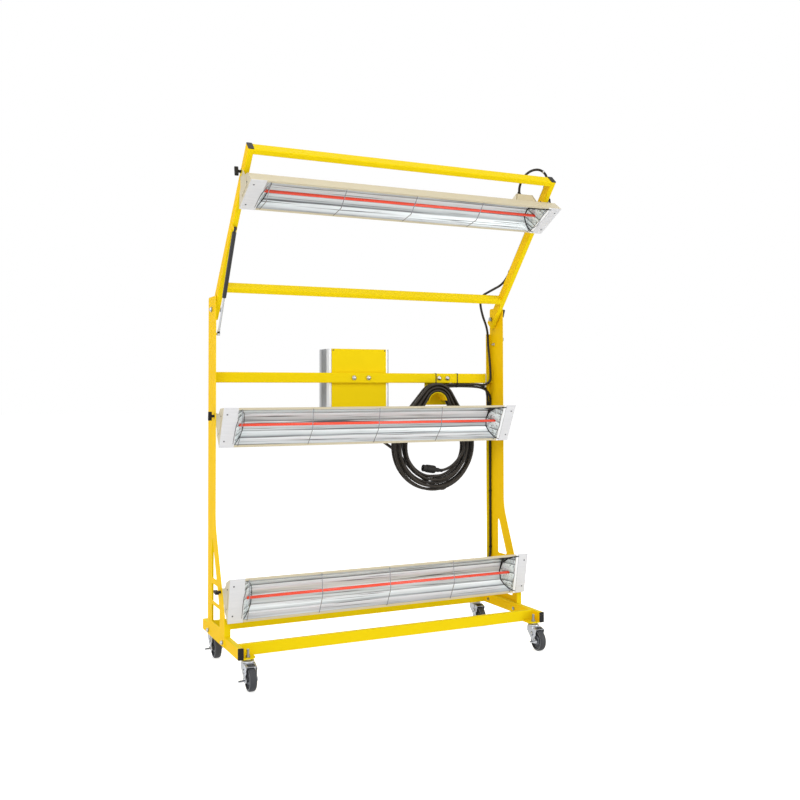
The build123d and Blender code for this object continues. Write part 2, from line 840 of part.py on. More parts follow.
def fixture(name, axis, tilt):
    """One infrared fixture: housing, reflector, lamp, wire guards and ears."""
    across = fixture_side(axis, tilt, -fixture_half)
    middle = fixture_side(axis, tilt, 0)

    with BuildPart() as housing:
        with BuildSketch(across) as outside:
            with BuildLine():
                Polyline(*housing_outline(), close=True)
            make_face()
        extrude(outside.sketch, amount=2 * fixture_half)
        with BuildSketch(fixture_side(axis, tilt, -fixture_half + housing_sheet)) as inside:
            with BuildLine():
                Polyline(*housing_outline(), close=True)
            make_face()
            offset(amount=-housing_sheet, kind=Kind.INTERSECTION, mode=Mode.REPLACE)
        extrude(inside.sketch, amount=2 * (fixture_half - housing_sheet), mode=Mode.SUBTRACT)
        mouth_half = fixture_half - housing_sheet
        mouth_start = middle.from_local_coords((face_tall / 2, -overrun, 0))
        mouth = Plane(origin=mouth_start, x_dir=(1, 0, 0), z_dir=middle.y_dir)
        slab(mouth, (0, 0), 2 * mouth_half, face_tall - 2 * lip, housing_sheet + 2 * overrun, Mode.SUBTRACT)
        box_side = fixture_back(axis, tilt)
        with BuildSketch(box_side.offset(-back_flat_wide / 2)) as junction:
            with BuildLine():
                Polyline(
                    (junction_middle - junction_base / 2, fixture_deep),
                    (junction_middle - junction_top / 2, fixture_deep + junction_tall),
                    (junction_middle + junction_top / 2, fixture_deep + junction_tall),
                    (junction_middle + junction_base / 2, fixture_deep),
                    close=True,
                )
            make_face()
        extrude(junction.sketch, amount=back_flat_wide)
        gland_base = Plane(
            origin=middle.from_local_coords((face_tall / 2, fixture_deep + junction_tall, junction_middle)),
            x_dir=(1, 0, 0),
            z_dir=middle.y_dir,
        )
        rod(gland_base, (0, 0), junction_gland_r, junction_gland_long)
        for side in sides.values():
            plate_x = side * (fixture_half - end_plate_wide / 2)
            plate_start = middle.from_local_coords((face_tall / 2, 0, plate_x))
            face = Plane(origin=plate_start, x_dir=(1, 0, 0), z_dir=-middle.y_dir)
            slab(face, (0, 0), end_plate_wide, face_tall, end_plate_thick)
    keep(housing, f"housing_{name}")

    trough_deep = reflector_deep - housing_sheet
    with BuildPart() as reflector:
        with BuildSketch(fixture_side(axis, tilt, -reflector_half)) as trough:
            with BuildLine():
                Polyline(*reflector_outline(), close=True)
            make_face()
        extrude(trough.sketch, amount=2 * reflector_half)
        for side in sides.values():
            rake = Plane(
                origin=middle.from_local_coords((face_tall / 2, housing_sheet, side * reflector_half)),
                x_dir=middle.x_dir,
                z_dir=middle.z_dir * (side * trough_deep) + middle.y_dir * reflector_rake,
            )
            split(bisect_by=rake, keep=Keep.BOTTOM)
        mouth = faces().sort_by(lambda face: middle.to_local_coords(face.center()).Y)[0]
        offset(amount=reflector_sheet, openings=mouth, kind=Kind.INTERSECTION)
        hole_start = fixture_side(axis, tilt, -reflector_half - overrun)
        through = 2 * (reflector_half + overrun)
        rod(hole_start, (face_tall / 2, lamp_back), lamp_hole_r, through, Mode.SUBTRACT)
    keep(reflector, f"reflector_{name}")

    with BuildPart() as lamp:
        rod(fixture_side(axis, tilt, -lamp_half), (face_tall / 2, lamp_back), lamp_r, 2 * lamp_half)
        holder_end = fixture_half - housing_sheet
        for side in sides.values():
            holder = fixture_side(axis, tilt, side * holder_end)
            rod(holder, (face_tall / 2, lamp_back), holder_r, -side * (holder_end - lamp_half + holder_grip))
    keep(lamp, f"lamp_{name}")

    with BuildPart() as guard:
        for step in range(-guards_each_side, guards_each_side + 1):
            place = fixture_side(axis, tilt, step * guard_pitch)
            with BuildLine(place) as bend:
                FilletPolyline(
                    (guard_from_edge, guard_hook),
                    (guard_from_edge, -guard_r),
                    (face_tall / 2, -guard_proud),
                    (face_tall - guard_from_edge, -guard_r),
                    (face_tall - guard_from_edge, guard_hook),
                    radius=[2 * guard_r, guard_bow, 2 * guard_r],
                )
            wire = bend.wires()[0]
            with BuildSketch(Plane(origin=wire @ 0, z_dir=wire % 0)) as section:
                Circle(guard_r)
            sweep(section.sketch, path=wire)
    keep(guard, f"guard_{name}")

    with BuildPart() as ears:
        for side in sides.values():
            with BuildSketch(fixture_side(axis, tilt, side * fixture_half)) as ear:
                root_tall = shoulder_deep - ear_root_low
                with Locations((face_tall / 2, ear_root_low + root_tall / 2)):
                    Rectangle(ear_root_wide, root_tall)
                with Locations((face_tall / 2, tilt_axis_behind)):
                    Circle(ear_round)
                make_hull()
                with Locations((face_tall / 2, tilt_axis_behind)):
                    Circle(stud_r + running_gap, mode=Mode.SUBTRACT)
            extrude(ear.sketch, amount=side * ear_thick)
            if name != "top":
                with BuildSketch(fixture_side(axis, tilt, side * fixture_half)) as nut:
                    with Locations((face_tall / 2, tilt_axis_behind)):
                        RegularPolygon(ear_nut_r, 6)
                        Circle(stud_r + running_gap, mode=Mode.SUBTRACT)
                extrude(nut.sketch, amount=-side * ear_nut_long)
    keep(ears, f"ears_{name}")


for fixture_name, (fixture_axis, fixture_tilt) in fixtures.items():
    fixture(fixture_name, fixture_axis, fixture_tilt)


# T-knobs
def knob(node, axis, side, seat, stud_end, turn):
    """T-knob: a stud through the ear, a stem outside and a bar to turn it by."""
    with BuildPart() as piece:
        rod(side_plane(side * stud_end), axis, stud_r, side * (seat - stud_end + rooted))
        rod(side_plane(side * seat), axis, knob_stem_r, side * knob_stem)
        with BuildSketch(side_plane(side * (seat + knob_stem))) as bar:
            with Locations(Location(axis, turn)):
                SlotOverall(knob_bar_long, knob_bar_wide)
        extrude(bar.sketch, amount=side * knob_bar_thick)
        fillet(faces().filter_by(Axis.X).sort_by(Axis.X)[-1 if side > 0 else 0].edges(), radius=knob_round)
    keep(piece, node)


for side_name, side in sides.items():
    knob(f"knob_top_{side_name}", top_axis, side, half + seat_gap, arm_in, 78)
    knob(f"knob_middle_{side_name}", middle_axis, side, web_out + seat_gap, fixture_half - ear_nut_long, 96)
    knob(f"knob_bottom_{side_name}", bottom_axis, side, web_out + seat_gap, fixture_half - ear_nut_long, 8)


# Casters
def caster(name, x, y):
    """Stem caster: a fork that swivels on the stem, a wheel and a side brake lever."""
    wheel_y = y - caster_trail
    cheek_x = fork_wide / 2 - fork_sheet
    top_y = y - fork_top_long / 6

    with BuildPart() as fork:
        rod(level_plane(fork_top), (x, y), race_r, race_tall)
        rod(level_plane(fork_top + race_tall), (x, y), neck_r, leg_under - seat_gap - fork_top - race_tall)
        slab(level_plane(fork_top - fork_sheet), (x, top_y), fork_wide, fork_top_long, fork_sheet)
        for side in sides.values():
            with BuildSketch(side_plane(x + side * cheek_x)) as cheek:
                with Locations((top_y, fork_top - fork_cheek_tall / 2)):
                    Rectangle(fork_top_long, fork_cheek_tall)
                with Locations((wheel_y, wheel_r)):
                    Circle(axle_boss_r)
                make_hull()
            extrude(cheek.sketch, amount=side * fork_sheet)
        rod(level_plane(0), (x, y), stem_r + running_gap, leg_under, Mode.SUBTRACT)
        axle_start = x - fork_wide / 2 - axle_head - brake_sheet
        rod(side_plane(axle_start), (wheel_y, wheel_r), axle_r, fork_wide + axle_head + brake_sheet)
        hex_head(side_plane(x + fork_wide / 2), (wheel_y, wheel_r), 2 * axle_r, axle_head)
        brake_outside = side_plane(x - fork_wide / 2 - brake_sheet - 2 * seat_gap)
        hex_head(brake_outside, (wheel_y, wheel_r), 2 * axle_r, -axle_head)
    keep(fork, f"caster_fork_{name}")

    with BuildPart() as wheel:
        with BuildSketch(Plane(origin=(x, wheel_y, wheel_r), x_dir=(1, 0, 0), z_dir=(0, -1, 0))) as section:
            rim_r = wheel_r - tread_thick
            with Locations((0, wheel_r - tread_thick / 2)):
                Rectangle(tread_wide, tread_thick)
            fillet(vertices().sort_by(Axis.Y)[-2:], radius=tread_round)
            with Locations((0, rim_r / 2)):
                Rectangle(web_wide, rim_r)
            with Locations((0, hub_r / 2)):
                Rectangle(hub_wide, hub_r)
            with Locations((0, 0)):
                Rectangle(hub_wide + overrun, 2 * (axle_r + running_gap), mode=Mode.SUBTRACT)
        revolve(section.sketch, axis=Axis((x, wheel_y, wheel_r), (1, 0, 0)))
    keep(wheel, f"caster_wheel_{name}")

    with BuildPart() as brake:
        brake_x = x - fork_wide / 2 - seat_gap
        tip_y = wheel_y - brake_reach
        with BuildSketch(side_plane(brake_x)) as arm:
            with Locations((wheel_y, wheel_r)):
                Circle(axle_boss_r - fork_sheet)
            with Locations((tip_y, wheel_r)):
                Circle(brake_round)
            make_hull()
            with Locations((wheel_y, wheel_r)):
                Circle(axle_r + running_gap, mode=Mode.SUBTRACT)
        extrude(arm.sketch, amount=-brake_sheet)
        pedal_x = brake_x - (brake_sheet + pedal_wide) / 2
        slab(level_plane(wheel_r), (pedal_x, tip_y), pedal_wide + brake_sheet, pedal_long, brake_sheet)
    keep(brake, f"caster_brake_{name}")


for row, stem_y in zip(("front", "rear"), stem_ys):
    for side_name, side in sides.items():
        caster(f"{row}_{side_name}", side * stem_x, stem_y)

# Control box
box_front = bar_rear
box_rear = box_front + box_deep
body_front = box_front + cover
body_rear = box_rear - cover
with BuildPart() as box_body:
    body_deep = body_rear - body_front
    slab(level_plane(box_under), (0, (body_front + body_rear) / 2), box_wide, body_deep, box_tall)
    for side in sides.values():
        fin_x = side * (box_wide + fin_out) / 2
        for strip_y in (body_front + fin_strip / 2, body_rear - fin_strip / 2):
            slab(level_plane(box_under), (fin_x, strip_y), fin_out, fin_strip, box_tall)
        for step in range(fins_a_side):
            fin_y = (body_front + body_rear) / 2 + (step - (fins_a_side - 1) / 2) * fin_pitch
            slab(level_plane(box_under), (fin_x, fin_y), fin_out, fin_thick, box_tall)
    cavity = front_plane(body_rear + overrun)
    box_middle = box_under + box_tall / 2
    inside_wide = box_wide - 2 * box_wall
    inside_tall = box_tall - 2 * box_wall
    slab(cavity, (0, box_middle), inside_wide, inside_tall, body_deep + 2 * overrun, Mode.SUBTRACT)
    gland_y = post_y + gland_behind
    for step in range(gland_count):
        gland_x = gland_first + step * gland_pitch
        hole = level_plane(box_under - overrun)
        rod(hole, (gland_x, gland_y), gland_dome_r, box_wall + 2 * overrun, Mode.SUBTRACT)
keep(box_body, "box_body")

with BuildPart() as box_covers:
    slab(front_plane(body_front), (0, box_middle), box_wide, box_tall, cover)
    for place in box_bolt_places:
        hole = front_plane(body_front + overrun)
        rod(hole, (place, bar_middle), bolt_r + bolt_gap, cover + 2 * overrun, Mode.SUBTRACT)
    slab(front_plane(box_rear), (0, box_middle), box_wide, box_tall, cover)
    for place in button_places.values():
        hole = front_plane(box_rear + overrun)
        rod(hole, (place, button_high), button_r + running_gap, cover + 2 * overrun, Mode.SUBTRACT)
keep(box_covers, "box_covers")

with BuildPart() as keypad_plate:
    with BuildSketch(front_plane(box_rear + keypad_thick)) as plate:
        with Locations((keypad_middle, keypad_high)):
            RectangleRounded(keypad_wide, keypad_tall, keypad_round)
        for place in button_places.values():
            with Locations((place, button_high)):
                Circle(button_r + running_gap, mode=Mode.SUBTRACT)
    extrude(plate.sketch, amount=keypad_thick)
    display_plane = front_plane(box_rear + keypad_thick + display_proud)
    slab(display_plane, (keypad_middle, display_high), display_wide, display_tall, display_proud)
keep(keypad_plate, "keypad_plate")

for button_name, place in button_places.items():
    with BuildPart() as button:
        button_face = box_rear + keypad_thick + button_proud
        flange_y = body_rear - button_travel - button_flange
        rod(front_plane(button_face), (place, button_high), button_r, button_face - flange_y)
        rod(front_plane(body_rear), (place, button_high), button_r + button_flange, button_flange)
        face_edge = faces().filter_by(Axis.Y).sort_by(Axis.Y)[-1].edges()
        fillet(face_edge, radius=keypad_thick / 2)
    keep(button, button_name)

board_y = body_rear - board_behind_cover
with BuildPart() as circuit_board:
    board_wide = box_wide - 2 * (box_wall + board_margin)
    board_tall = box_tall - 2 * (box_wall + board_margin)
    slab(front_plane(board_y), (0, box_middle), board_wide, board_tall, board_thick)
    with BuildSketch(front_plane(body_rear)) as spacers:
        with Locations((0, box_middle)):
            with GridLocations(board_wide - board_margin, board_tall - board_margin, 2, 2):
                Circle(spacer_r)
    extrude(spacers.sketch, amount=board_behind_cover)
    for step in (-1, 0, 1):
        module_x = step * (module_wide + board_margin)
        module_place = (module_x, box_middle - module_tall / 2)
        slab(front_plane(board_y - board_thick), module_place, module_wide, module_tall, module_deep)
    display_place = (keypad_middle, display_high)
    slab(front_plane(body_rear), display_place, display_wide, display_tall, board_behind_cover)
keep(circuit_board, "circuit_board")

with BuildPart() as cable_glands:
    for step in range(gland_count):
        gland_place = (gland_first + step * gland_pitch, gland_y)
        hex_head(level_plane(box_under), gland_place, gland_r, -gland_hex)
        rod(level_plane(box_under - gland_hex), gland_place, gland_dome_r, -gland_dome)
        rod(level_plane(box_under), gland_place, gland_dome_r - running_gap, box_wall)
keep(cable_glands, "cable_glands")

# Cable hanger
with BuildPart() as cable_hanger:
    plate_top = bar_under + tube_deep
    plate_tall = plate_top - hanger_under
    plate_place = (hanger_middle, hanger_under + plate_tall / 2)
    slab(front_plane(bar_rear + saddle_sheet), plate_place, hanger_wide, plate_tall, saddle_sheet)
    for place in hanger_bolt_places:
        hole = front_plane(bar_rear + saddle_sheet + overrun)
        rod(hole, (place, bar_middle), bolt_r + bolt_gap, saddle_sheet + 2 * overrun, Mode.SUBTRACT)
    with BuildSketch(front_plane(bar_rear)) as saddle:
        with BuildLine():
            start_turn = 90 - saddle_half_turn
            CenterArc((saddle_middle, saddle_high), saddle_r, start_turn, 2 * saddle_half_turn)
            CenterArc((saddle_middle, saddle_high), saddle_r - saddle_sheet, start_turn, 2 * saddle_half_turn)
            for turn in (start_turn, start_turn + 2 * saddle_half_turn):
                ray = Vector(cos(radians(turn)), sin(radians(turn)))
                centre = Vector(saddle_middle, saddle_high)
                Line(centre + ray * saddle_r, centre + ray * (saddle_r - saddle_sheet))
        make_face()
    extrude(saddle.sketch, amount=saddle_long)
keep(cable_hanger, "cable_hanger")

# Bolts, washers and caster stems of the standing frame
with BuildPart() as frame_bolts:
    for side in sides.values():
        for place in leg_bolt_places:
            spot = (post_y + place, leg_bolt_high)
            shank = sheet + tube_thin + 2 * rooted
            rod(side_plane(side * (web_out + rooted)), spot, leg_bolt_r, -side * shank)
            hex_head(side_plane(side * web_out), spot, leg_bolt_head_r, side * bolt_head)
            hex_head(side_plane(side * (half - tube_thin)), spot, leg_bolt_head_r, -side * bolt_head)
        shank = web_out - arm_in + 2 * rooted
        rod(side_plane(side * (web_out + rooted)), swing_axis, pivot_bolt_r, -side * shank)
        hex_head(side_plane(side * web_out), swing_axis, pivot_head_r, side * bolt_head)
        hex_head(side_plane(side * (arm_in - seat_gap)), swing_axis, pivot_head_r, -side * 2 * bolt_head)
        rod(side_plane(side * half), swing_axis, washer_r, -side * (washer - running_gap))
    box_bolts = [(x, cover) for x in box_bolt_places]
    hanger_bolts = [(x, saddle_sheet) for x in hanger_bolt_places]
    for place, behind in box_bolts + hanger_bolts:
        shank = tube_thin + behind + 2 * rooted
        rod(front_plane(bar_rear + behind + rooted), (place, bar_middle), bolt_r, shank)
        hex_head(front_plane(bar_front), (place, bar_middle), bolt_head_r, bolt_head)
        hex_head(front_plane(bar_rear + behind), (place, bar_middle), bolt_head_r, -bolt_head)
    for side in sides.values():
        end_spot = (side * end_bolt_place, bar_middle)
        rod(front_plane(panel_rear + rooted), end_spot, bolt_r, sheet + tube_wall + bolt_head)
        hex_head(front_plane(panel_rear), end_spot, bolt_head_r, -bolt_head)
        for stem_y in stem_ys:
            stem_place = (side * stem_x, stem_y)
            stem_low = fork_top - fork_sheet - seat_gap - stem_head
            plate_up = leg_under + stem_plate_thick
            rod(level_plane(stem_low), stem_place, stem_head_r, stem_head)
            rod(level_plane(stem_low), stem_place, stem_r, plate_up + stem_above - stem_low)
            hex_head(level_plane(plate_up), stem_place, stem_nut_r, stem_head)
            rod(level_plane(plate_up + stem_head), stem_place, stem_collar_r, stem_head)
keep(frame_bolts, "frame_bolts")

# Lock lever
with BuildPart() as lock_lever:
    cheek_tall = 4 * lever_pin_r
    for way in (-1, 1):
        cheek_y = lever_y + way * (lever_tab / 2 + running_gap)
        with BuildSketch(front_plane(cheek_y)) as cheek:
            with Locations((lever_x, lever_pivot_high)):
                Circle(cheek_tall / 2)
            with Locations((lever_x, lever_pivot_high + cheek_tall / 2)):
                Rectangle(cheek_tall, cheek_tall)
            with Locations((lever_x, lever_pivot_high)):
                Circle(lever_pin_r + running_gap, mode=Mode.SUBTRACT)
        extrude(cheek.sketch, amount=-way * lever_cheek)
    bridge_z = lever_pivot_high + cheek_tall
    yoke_deep = lever_tab + 2 * (lever_cheek + running_gap)
    slab(level_plane(bridge_z), (lever_x, lever_y), cheek_tall, yoke_deep, lever_cheek)
    rod(level_plane(bridge_z), (lever_x, lever_y), lever_rod_r, lever_rod_top - bridge_z)
    lean = radians(lever_grip_lean)
    grip_start = (lever_x, lever_y, lever_rod_top - lever_grip_r)
    grip_plane = Plane(origin=grip_start, x_dir=(0, 1, 0), z_dir=(sin(lean), 0, cos(lean)))
    rod(grip_plane, (0, 0), lever_grip_r, lever_grip_long)
    fillet(round_edges(lever_grip_r), radius=lever_rod_r / 2)
keep(lock_lever, "lock_lever")


# Supply cable: hung on the hanger in loops, four layers deep, with the plug inside them
coil_span = Vector(*coil_top) - Vector(*coil_bottom)
coil_up = coil_span.normalized()
coil_right = Vector(coil_up.Y, -coil_up.X)


def coil_place(spot, behind):
    """Place in space of a spot given across and up."""
    return Vector(spot.X, post_y + behind, spot.Y)


def limb_ends(side, foot_out, head_out):
    """Spots where a slanting side leaves the bottom arc and meets the top arc, offsets in pitches."""
    ends = []
    for centre, least_r, pitch, out in (
        (coil_bottom, coil_bottom_r, coil_bottom_pitch, foot_out),
        (coil_top, coil_top_r, coil_top_pitch, head_out),
    ):
        spread = coil_bottom_r - coil_top_r + (coil_bottom_pitch - coil_top_pitch) * out
        slant = asin(spread / coil_span.length)
        outward = coil_right * (side * cos(slant)) + coil_up * sin(slant)
        ends.append(Vector(*centre) + outward * (least_r + pitch * out))
    return ends


def coil_end(up, out):
    """Lowest or highest spot of a loop at an offset."""
    if up:
        return Vector(*coil_top) + Vector(0, coil_top_r + coil_top_pitch * out)
    return Vector(*coil_bottom) - Vector(0, coil_bottom_r + coil_bottom_pitch * out)


leftward = Vector(-1, 0, 0)
half_turns = []
out = 0
behind = coil_rear
for layer in range(coil_layers):
    step = 1 if layer % 2 == 0 else -1
    for _ in range(2 * coil_spiral_turns):
        half_turns.append((out, out + step / 2, behind, behind))
        out += step / 2
    last_layer = layer == coil_layers - 1
    half_turns.append((out, out, behind, behind if last_layer else behind - coil_layer_step))
    behind -= coil_layer_step

with BuildPart() as supply_cable:
    with BuildLine() as winding:
        coil_radii = []
        coil_start = coil_place(coil_end(False, 0), coil_rear)
        Line(coil_start - leftward * 2 * supply_cable_r, coil_start)
        for index, (out_a, out_b, behind_a, behind_b) in enumerate(half_turns):
            rising = index % 2 == 0
            shares = (limb_foot_share, limb_head_share)
            if not rising:
                shares = (1 - limb_foot_share, 1 - limb_head_share)
            outs = [out_a + (out_b - out_a) * share for share in shares]
            behinds = [behind_a + (behind_b - behind_a) * share for share in shares]
            spots = limb_ends(-1 if rising else 1, *outs)
            foot, head = [coil_place(spot, place) for spot, place in zip(spots, behinds)]
            first, second = (foot, head) if rising else (head, foot)
            limb_way = (second - first).normalized()
            start = coil_place(coil_end(not rising, out_a), behind_a)
            end = coil_place(coil_end(rising, out_b), behind_b)
            way = leftward if rising else -leftward
            coil_radii += biarc(start, way, first, limb_way)
            if index < len(half_turns) - 1:
                Line(first, second)
                coil_radii += biarc(second, limb_way, end, -way)
        plug_way = Vector(-cos(radians(plug_lean)), 0, sin(radians(plug_lean)))
        tail = [(x, post_y + y, z) for x, y, z in coil_tail_route]
        tail_end = (plug_end[0], post_y + plug_end[1], plug_end[2])
        coil_radii += cord_route([first, first + limb_way * coil_tail, *tail, tail_end])
    coil_path = winding.wires()[0]
    with BuildSketch(Plane(origin=coil_path @ 0, z_dir=coil_path % 0)) as section:
        Circle(supply_cable_r)
    sweep(section.sketch, path=coil_path)
keep(supply_cable, "supply_cable")
coil_share = supply_cable.part.volume / (pi * supply_cable_r**2 * coil_path.length)
coil_gap = least_gap(coil_path, supply_cable_r, measure_step, 6 * supply_cable_r)
print(f"coil of {coil_path.length:.0f}, least radius {min(coil_radii):.0f}, least gap {coil_gap:.2f}")
print(f"coil volume share {coil_share:.4f}")

with BuildPart() as supply_plug:
    plug_start = Plane(origin=tail_end, x_dir=(0, 1, 0), z_dir=plug_way)
    rod(plug_start, (0, 0), plug_relief_r, plug_relief)
    with BuildSketch(plug_start.offset(plug_relief)) as grip:
        Circle(plug_r)
    extrude(grip.sketch, amount=plug_body)
    fillet(round_edges(plug_r), radius=plug_rib)
    with BuildSketch(plug_start.offset(plug_relief + plug_body)) as shroud:
        Circle(plug_shroud_r)
        Circle(plug_shroud_r - plug_wall, mode=Mode.SUBTRACT)
        with PolarLocations(plug_pin_circle_r, plug_pins):
            Circle(plug_pin_r)
    extrude(shroud.sketch, amount=plug_shroud)
keep(supply_plug, "supply_plug")


# Cables tied along the frame, and their free leads
def from_axis(route):
    """Places of a route given behind the swing axis."""
    return [(x, post_y + y, z) for x, y, z in route]


def gland_start(number):
    """End of one of the control box's glands."""
    return (gland_first + number * gland_pitch, gland_y, box_under - gland_hex - gland_dome)


def fixture_gland(name):
    """End of a fixture's gland, and the place its cable reaches straight out of it."""
    axis, tilt = fixtures[name]
    middle = fixture_side(axis, tilt, 0)
    deep = fixture_deep + junction_tall + junction_gland_long
    end = middle.from_local_coords((face_tall / 2, deep, junction_middle))
    out = middle.from_local_coords((face_tall / 2, deep + lead_from_gland[name], junction_middle))
    return [tuple(end), tuple(out)]


def report_cords(piece, node, expected):
    """Compare a cord node's volume with its section times its length."""
    print(f"{node}: volume share {piece.part.volume / expected:.4f}")


with BuildPart() as stand_cables:
    cord_sum = cord([gland_start(3), *from_axis(supply_lead_route), tuple(coil_path @ 0)], supply_cable_r)
    cord_sum += cord([gland_start(2), *from_axis(top_lane_route)], fixture_cable_r)
    cord_sum += cord([gland_start(1), *from_axis(middle_lane_route)], fixture_cable_r)
    cord_sum += cord([gland_start(0), *from_axis(lower_lane_route)], fixture_cable_r)
keep(stand_cables, "stand_cables")
report_cords(stand_cables, "stand_cables", cord_sum)

lead_routes = (("middle_lead", "middle", middle_lead_route), ("lower_lead", "bottom", lower_lead_route))
for node, name, route in lead_routes:
    with BuildPart() as lead:
        cord_sum = cord([*fixture_gland(name), *from_axis(route)], fixture_cable_r)
    keep(lead, node)
    report_cords(lead, node, cord_sum)

with BuildPart() as top_cable:
    lane_end = Vector(*from_axis(top_lane_route)[-1])
    lane_way = (lane_end - Vector(*from_axis(top_lane_route)[-2])).normalized()
    on_arm = [arm_plane(x, along).from_local_coords((0, behind)) for x, along, behind in top_cable_route]
    places = [tuple(place) for place in on_arm]
    lane_reach = tuple(lane_end + lane_way * lead_from_gland["top"])
    cord_sum = cord([*fixture_gland("top"), *places, lane_reach, tuple(lane_end)], fixture_cable_r)
keep(top_cable, "top_cable")
report_cords(top_cable, "top_cable", cord_sum)
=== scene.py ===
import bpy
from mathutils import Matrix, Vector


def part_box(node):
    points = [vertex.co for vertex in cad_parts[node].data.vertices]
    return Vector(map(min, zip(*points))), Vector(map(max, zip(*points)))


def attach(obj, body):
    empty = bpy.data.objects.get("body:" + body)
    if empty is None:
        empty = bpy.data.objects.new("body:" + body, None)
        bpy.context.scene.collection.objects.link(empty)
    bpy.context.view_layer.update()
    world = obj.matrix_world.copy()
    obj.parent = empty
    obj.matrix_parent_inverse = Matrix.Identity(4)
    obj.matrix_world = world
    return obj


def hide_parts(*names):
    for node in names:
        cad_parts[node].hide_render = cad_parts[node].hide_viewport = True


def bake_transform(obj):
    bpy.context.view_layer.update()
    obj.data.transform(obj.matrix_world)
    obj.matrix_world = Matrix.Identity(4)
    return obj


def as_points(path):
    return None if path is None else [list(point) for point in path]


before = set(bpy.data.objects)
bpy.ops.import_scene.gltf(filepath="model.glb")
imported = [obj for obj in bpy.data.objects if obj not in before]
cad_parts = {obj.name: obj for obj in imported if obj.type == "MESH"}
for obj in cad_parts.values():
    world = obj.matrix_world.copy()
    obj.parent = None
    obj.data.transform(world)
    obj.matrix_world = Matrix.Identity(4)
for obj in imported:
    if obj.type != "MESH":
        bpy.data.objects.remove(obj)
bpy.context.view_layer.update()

from math import asin, atan2, cos, pi, radians, sin, tan

import bmesh
import bpy
from bpy.props import FloatProperty, FloatVectorProperty, PointerProperty
from mathutils import Matrix, Vector

bl_info = {
    "name": "Infrared curing lamp on a wheeled stand",
    "version": (1, 0, 0),
    "blender": (4, 5, 0),
    "location": "View3D > Sidebar > Curing Lamp",
    "description": "Dresses the curing lamp's frame with cables, ties, small parts and finishes",
    "category": "Object",
}

MM = 0.001

# Middle crossbar's section, as behind the swing axis and up, in millimetres
BAR_FRONT = 39.6
BAR_REAR = 65.0
BAR_LOW = 1322.0
BAR_HIGH = 1372.8
BAR_CORNER = 4.0

# The swing axis: its place behind the origin, from the crossbar's rear face, and its height
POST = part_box("middle_crossbar")[1].y / MM - BAR_REAR
PIVOT_HIGH = 1667.0

# The arms' lean from upright, and the top fixture's tilt axis up the arms
LEAN = radians(41.7)
TOP_ALONG = 743.0

# Each fixture: tilt axis ahead of the swing axis, its height, and its tilt from upright
FIXTURES = {
    "top": (-TOP_ALONG * sin(LEAN), PIVOT_HIGH + TOP_ALONG * cos(LEAN), 63.4),
    "middle": (-52.0, 1164.0, 26.0),
    "bottom": (-178.5, 370.5, 11.0),
}

# A fixture's section and ends, in millimetres
FACE_TALL = 206.0
FIXTURE_DEEP = 76.0
AXIS_BEHIND = 120.0
PLATE_START = 702.0
PLATE_EDGE = 717.0
PLATE_SKIN = 0.8
FOLD_LINE = 0.8
LIP = 12.0

# Junction box on the housing's back: its middle across, its height, and its widths at foot and top
JUNCTION = 631.0
JUNCTION_TALL = 46.0
JUNCTION_BASE = 129.0
JUNCTION_TOP = 95.0
JUNCTION_SEAM = 6.0
SEAM_LINE = 1.6
SEAM_START = 1.0
GLAND_START = 0.3
GLAND_LONG = 16.0

# Reflector: half its length, how far its ends slant in, its front and rear, and its facets' edges
REFLECTOR_HALF = 701.0
REFLECTOR_RAKE = 50.0
REFLECTOR_FRONT = 1.5
REFLECTOR_DEEP = 62.0
FACETS = ((0.0, 0.0), (0.115, 0.55), (0.25, 0.87), (0.5, 1.0), (0.75, 0.87), (0.885, 0.55), (1.0, 0.0))

# Black tubes at each fixture's ends, among them painted shade along the reflectors' end edges, as across,
# down the face and back from it, with radii in metres
EDGE_SHADE_INSIDE = 1.2
EDGE_SHADE_AHEAD = 0.8
TOP_RAIL = (
    (588.0, 17.5, 1.4),
    (612.0, 18.5, 1.6),
    (650.0, 16.5, 1.8),
    (695.0, 13.0, -0.4),
    (717.0, 11.0, -1.6),
)
TOP_RAIL_RADII = (0.0008, 0.0034, 0.0044, 0.0034, 0.0026)
TOP_GUSSET = ((628.0, 19.0, 4.0), (641.0, 31.0, 22.0), (650.0, 50.0, 44.0), (652.0, 82.0, 57.5))
TOP_GUSSET_RADII = (0.0075, 0.0075, 0.0056, 0.003)
EDGE_FOOT = ((690.0, 187.0, 8.0), (703.0, 192.0, -1.4), (714.0, 195.0, -1.6))
RIGHT_EDGE_SHADE = (0.002, 0.005, 0.0048, 0.0026, 0.0024, 0.0022, 0.002, 0.002, 0.0018)
LEFT_EDGE_SHADE = (0.0005, 0.0007, 0.0009, 0.0012, 0.0024, 0.002, 0.0006)
LEFT_ROD = ((-690.0, 34.0, 0.6), (-703.5, 88.0, -1.6), (-707.0, 130.0, -1.6), (-708.5, 187.0, -1.4))
LEFT_ROD_RADII = (0.0009, 0.0014, 0.0012, 0.0009)
LAMP_LEAD = ((650.0, 92.0, 59.0), (676.0, 90.0, 44.0), (706.0, 96.0, 33.0), (716.0, 100.0, 29.0))

# Lamp tube, in millimetres: how far it lies behind the face and where its pinched tips start
LAMP_BACK = 27.0
LAMP_TIP = 711.0
# Half the ruby length of the lamp tube, in metres
RUBY_HALF = 0.7005

# Screws of a fixture: on the end plates, on the sides and round the junction box, in millimetres
PLATE_SCREW = 752.0
PLATE_SCREW_PROUD = 1.5
PLATE_SCREWS_DOWN = (34.0, 172.0)
SIDE_SCREW = 771.0
SIDE_SCREW_BACK = 30.0
SIDE_SCREWS_DOWN = (58.0, 148.0)
JUNCTION_SCREW_ACROSS = 20.0
JUNCTION_SCREW_DOWN = 26.0

# Clamp's yellow round on the ear plates, as a radius in metres
CLAMP_ROUND = 0.021

